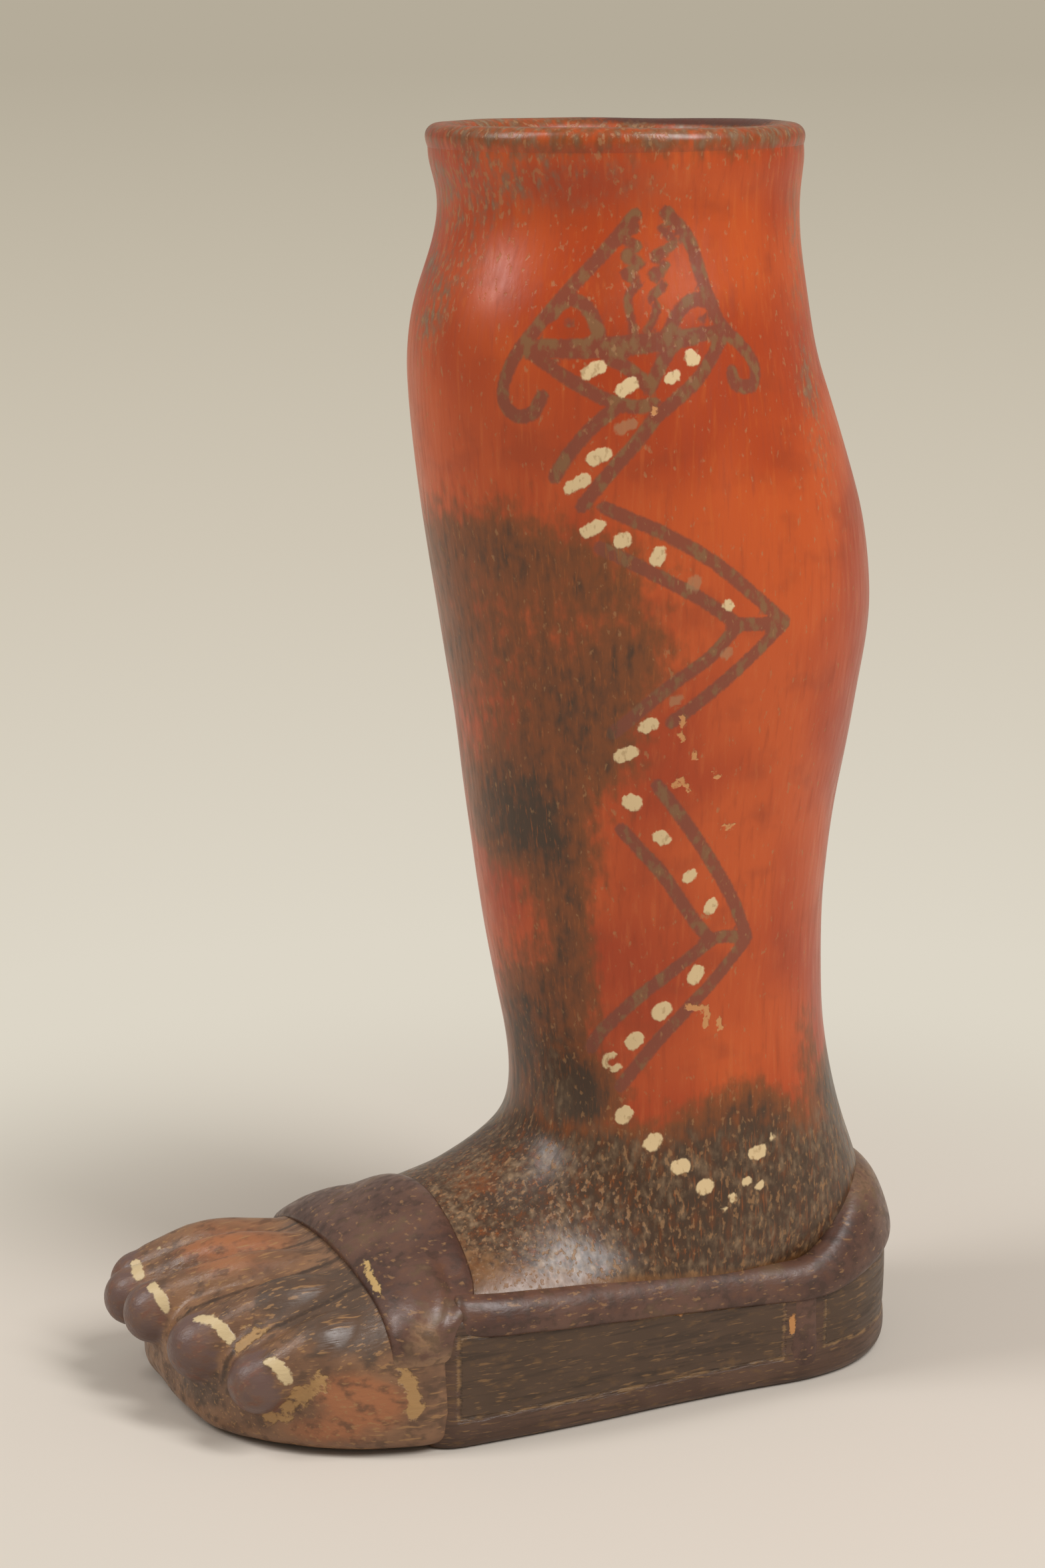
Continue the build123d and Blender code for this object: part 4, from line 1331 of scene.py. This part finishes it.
def paper():
    """Matt paper that turns, far from the cup, into a backdrop that glows for the eye and darkens towards the
    horizon as painted shade.
    """
    material = bpy.data.materials.new("matt grey paper")
    material.use_nodes = True
    tree = material.node_tree
    place = add(tree, "TexCoord", {})["Object"]
    away = add(tree, "VectorMath", {0: place}, operation="LENGTH")["Value"]
    far = add(tree, "MapRange", {0: away, 1: NEAR_PAPER, 2: FAR_PAPER}, interpolation_type="SMOOTHSTEP")[0]
    further = add(tree, "Math", {0: away, 1: HALF_WAY}, operation="ADD")[0]
    share = add(tree, "Math", {0: away, 1: further}, operation="DIVIDE")[0]
    ramp = tree.nodes.new("ShaderNodeValToRGB")
    tree.links.new(share, ramp.inputs[0])
    for count, (where, code) in enumerate(BACKDROP):
        stop = ramp.color_ramp.elements.new(where) if count > 1 else ramp.color_ramp.elements[count]
        stop.position, stop.color = where, linear(code)
    rays = add(tree, "LightPath", {})
    eye = add(tree, "Math", {0: rays["Is Camera Ray"], 1: rays["Is Glossy Ray"]}, operation="MAXIMUM")[0]
    eye = add(tree, "Math", {0: eye, 1: rays["Is Transmission Ray"]}, operation="MAXIMUM")[0]
    glow = add(tree, "Emission", {"Color": ramp.outputs[0]})[0]
    matt = add(tree, "BsdfDiffuse", {"Color": linear(FLOOR_PAPER)})[0]
    both = add(tree, "Math", {0: far, 1: eye}, operation="MULTIPLY")[0]
    shader = add(tree, "MixShader", {0: both, 1: matt, 2: glow})[0]
    tree.links.new(shader, tree.nodes["Material Output"].inputs["Surface"])
    return material


bm = bmesh.new()
bmesh.ops.create_circle(bm, cap_ends=True, segments=96, radius=FLOOR_RADIUS)
floor_mesh = bpy.data.meshes.new("floor")
bm.to_mesh(floor_mesh)
bm.free()
floor = bpy.data.objects.new("floor", floor_mesh)
bpy.context.scene.collection.objects.link(floor)
floor.data.materials.append(paper())
print("floor reaches", FLOOR_RADIUS, "m")

# %% [markdown]
# Two soft lamps stand to the left and right of the camera, as on a copy stand. They leave the two pale
# patches on the knee and above the heel, and the faint shadow under the toes.

# %% Hang the lamps
AMBIENT = 0.42
LAMP_BASE, LAMP_AIM = 100.0, 120.0
LAMPS = [
    # name, angle to the left of the camera and lift in degrees, distance, width and height in millimetres,
    # power in watts
    ("left soft box", 74.0, 46.0, 1300.0, 320.0, 850.0, 6.5),
    ("right soft box", -48.0, 50.0, 1300.0, 320.0, 850.0, 12.0),
]
world = bpy.data.worlds.new("studio")
bpy.context.scene.world = world
world.use_nodes = True
sky = world.node_tree
around_light = add(sky, "Background", {"Color": linear("#E8E2D8"), "Strength": AMBIENT})[0]
# Beyond the floor the eye sees the darkest, painted-shade end of the backdrop.
backdrop = add(sky, "Background", {"Color": linear(BACKDROP[-1][1])})[0]
seen = add(sky, "LightPath", {})["Is Camera Ray"]
studio = add(sky, "MixShader", {0: seen, 1: around_light, 2: backdrop})[0]
sky.links.new(studio, sky.nodes["World Output"].inputs["Surface"])
for name, around, lift, away, width, height, power in LAMPS:
    lamp = bpy.data.lights.new(name, "AREA")
    lamp.shape, lamp.size, lamp.size_y, lamp.energy = "RECTANGLE", width * MM, height * MM, power
    turn, rise = math.radians(around), math.radians(lift)
    level = to_camera * math.cos(turn) - to_right * math.sin(turn)
    place = level * math.cos(rise) * away + UP * (math.sin(rise) * away + LAMP_BASE)
    light = bpy.data.objects.new(name, lamp)
    bpy.context.scene.collection.objects.link(light)
    light.location = place * MM
    light.rotation_euler = (UP * LAMP_AIM - place).to_track_quat("-Z", "Y").to_euler()
bpy.context.scene.view_settings.view_transform = "Standard"
print("lamps:", len(LAMPS))

# %% [markdown]
# # Hand-over
# Each piece rides on the cup's one body and takes the place of the solids that it shows. One mesh for each
# solid would show seams between the courses of the leg and at the corners of the walls, which the potter
# smoothed away, so some pieces stand for several solids.

# %% Tie the pieces to the frame
for piece, slot, nodes in (
    (leg, "red_slip_clay", ("mouth_course", "knee_course", "calf_course", "shin_course", "ankle_course",
                            "instep_vault")),
    (lip, "red_slip_clay", ("rim_coil",)),
    (block, "smoked_clay", ("sole_slab", "heel_wall", "lateral_wall", "medial_wall")),
    (band, "purple_slip_clay", ("lateral_edge_strip", "medial_edge_strip", "heel_band")),
    (corner_strips[0], "purple_slip_clay", ("lateral_corner_strip",)),
    (corner_strips[1], "purple_slip_clay", ("medial_corner_strip",)),
    (forefoot, "smoked_clay", ("toe_cap", "big_toe", "second_toe", "third_toe", "fourth_toe", "little_toe")),
    (strap, "purple_slip_clay", ("instep_strap",)),
):
    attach(piece, "root")
    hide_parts(*nodes)
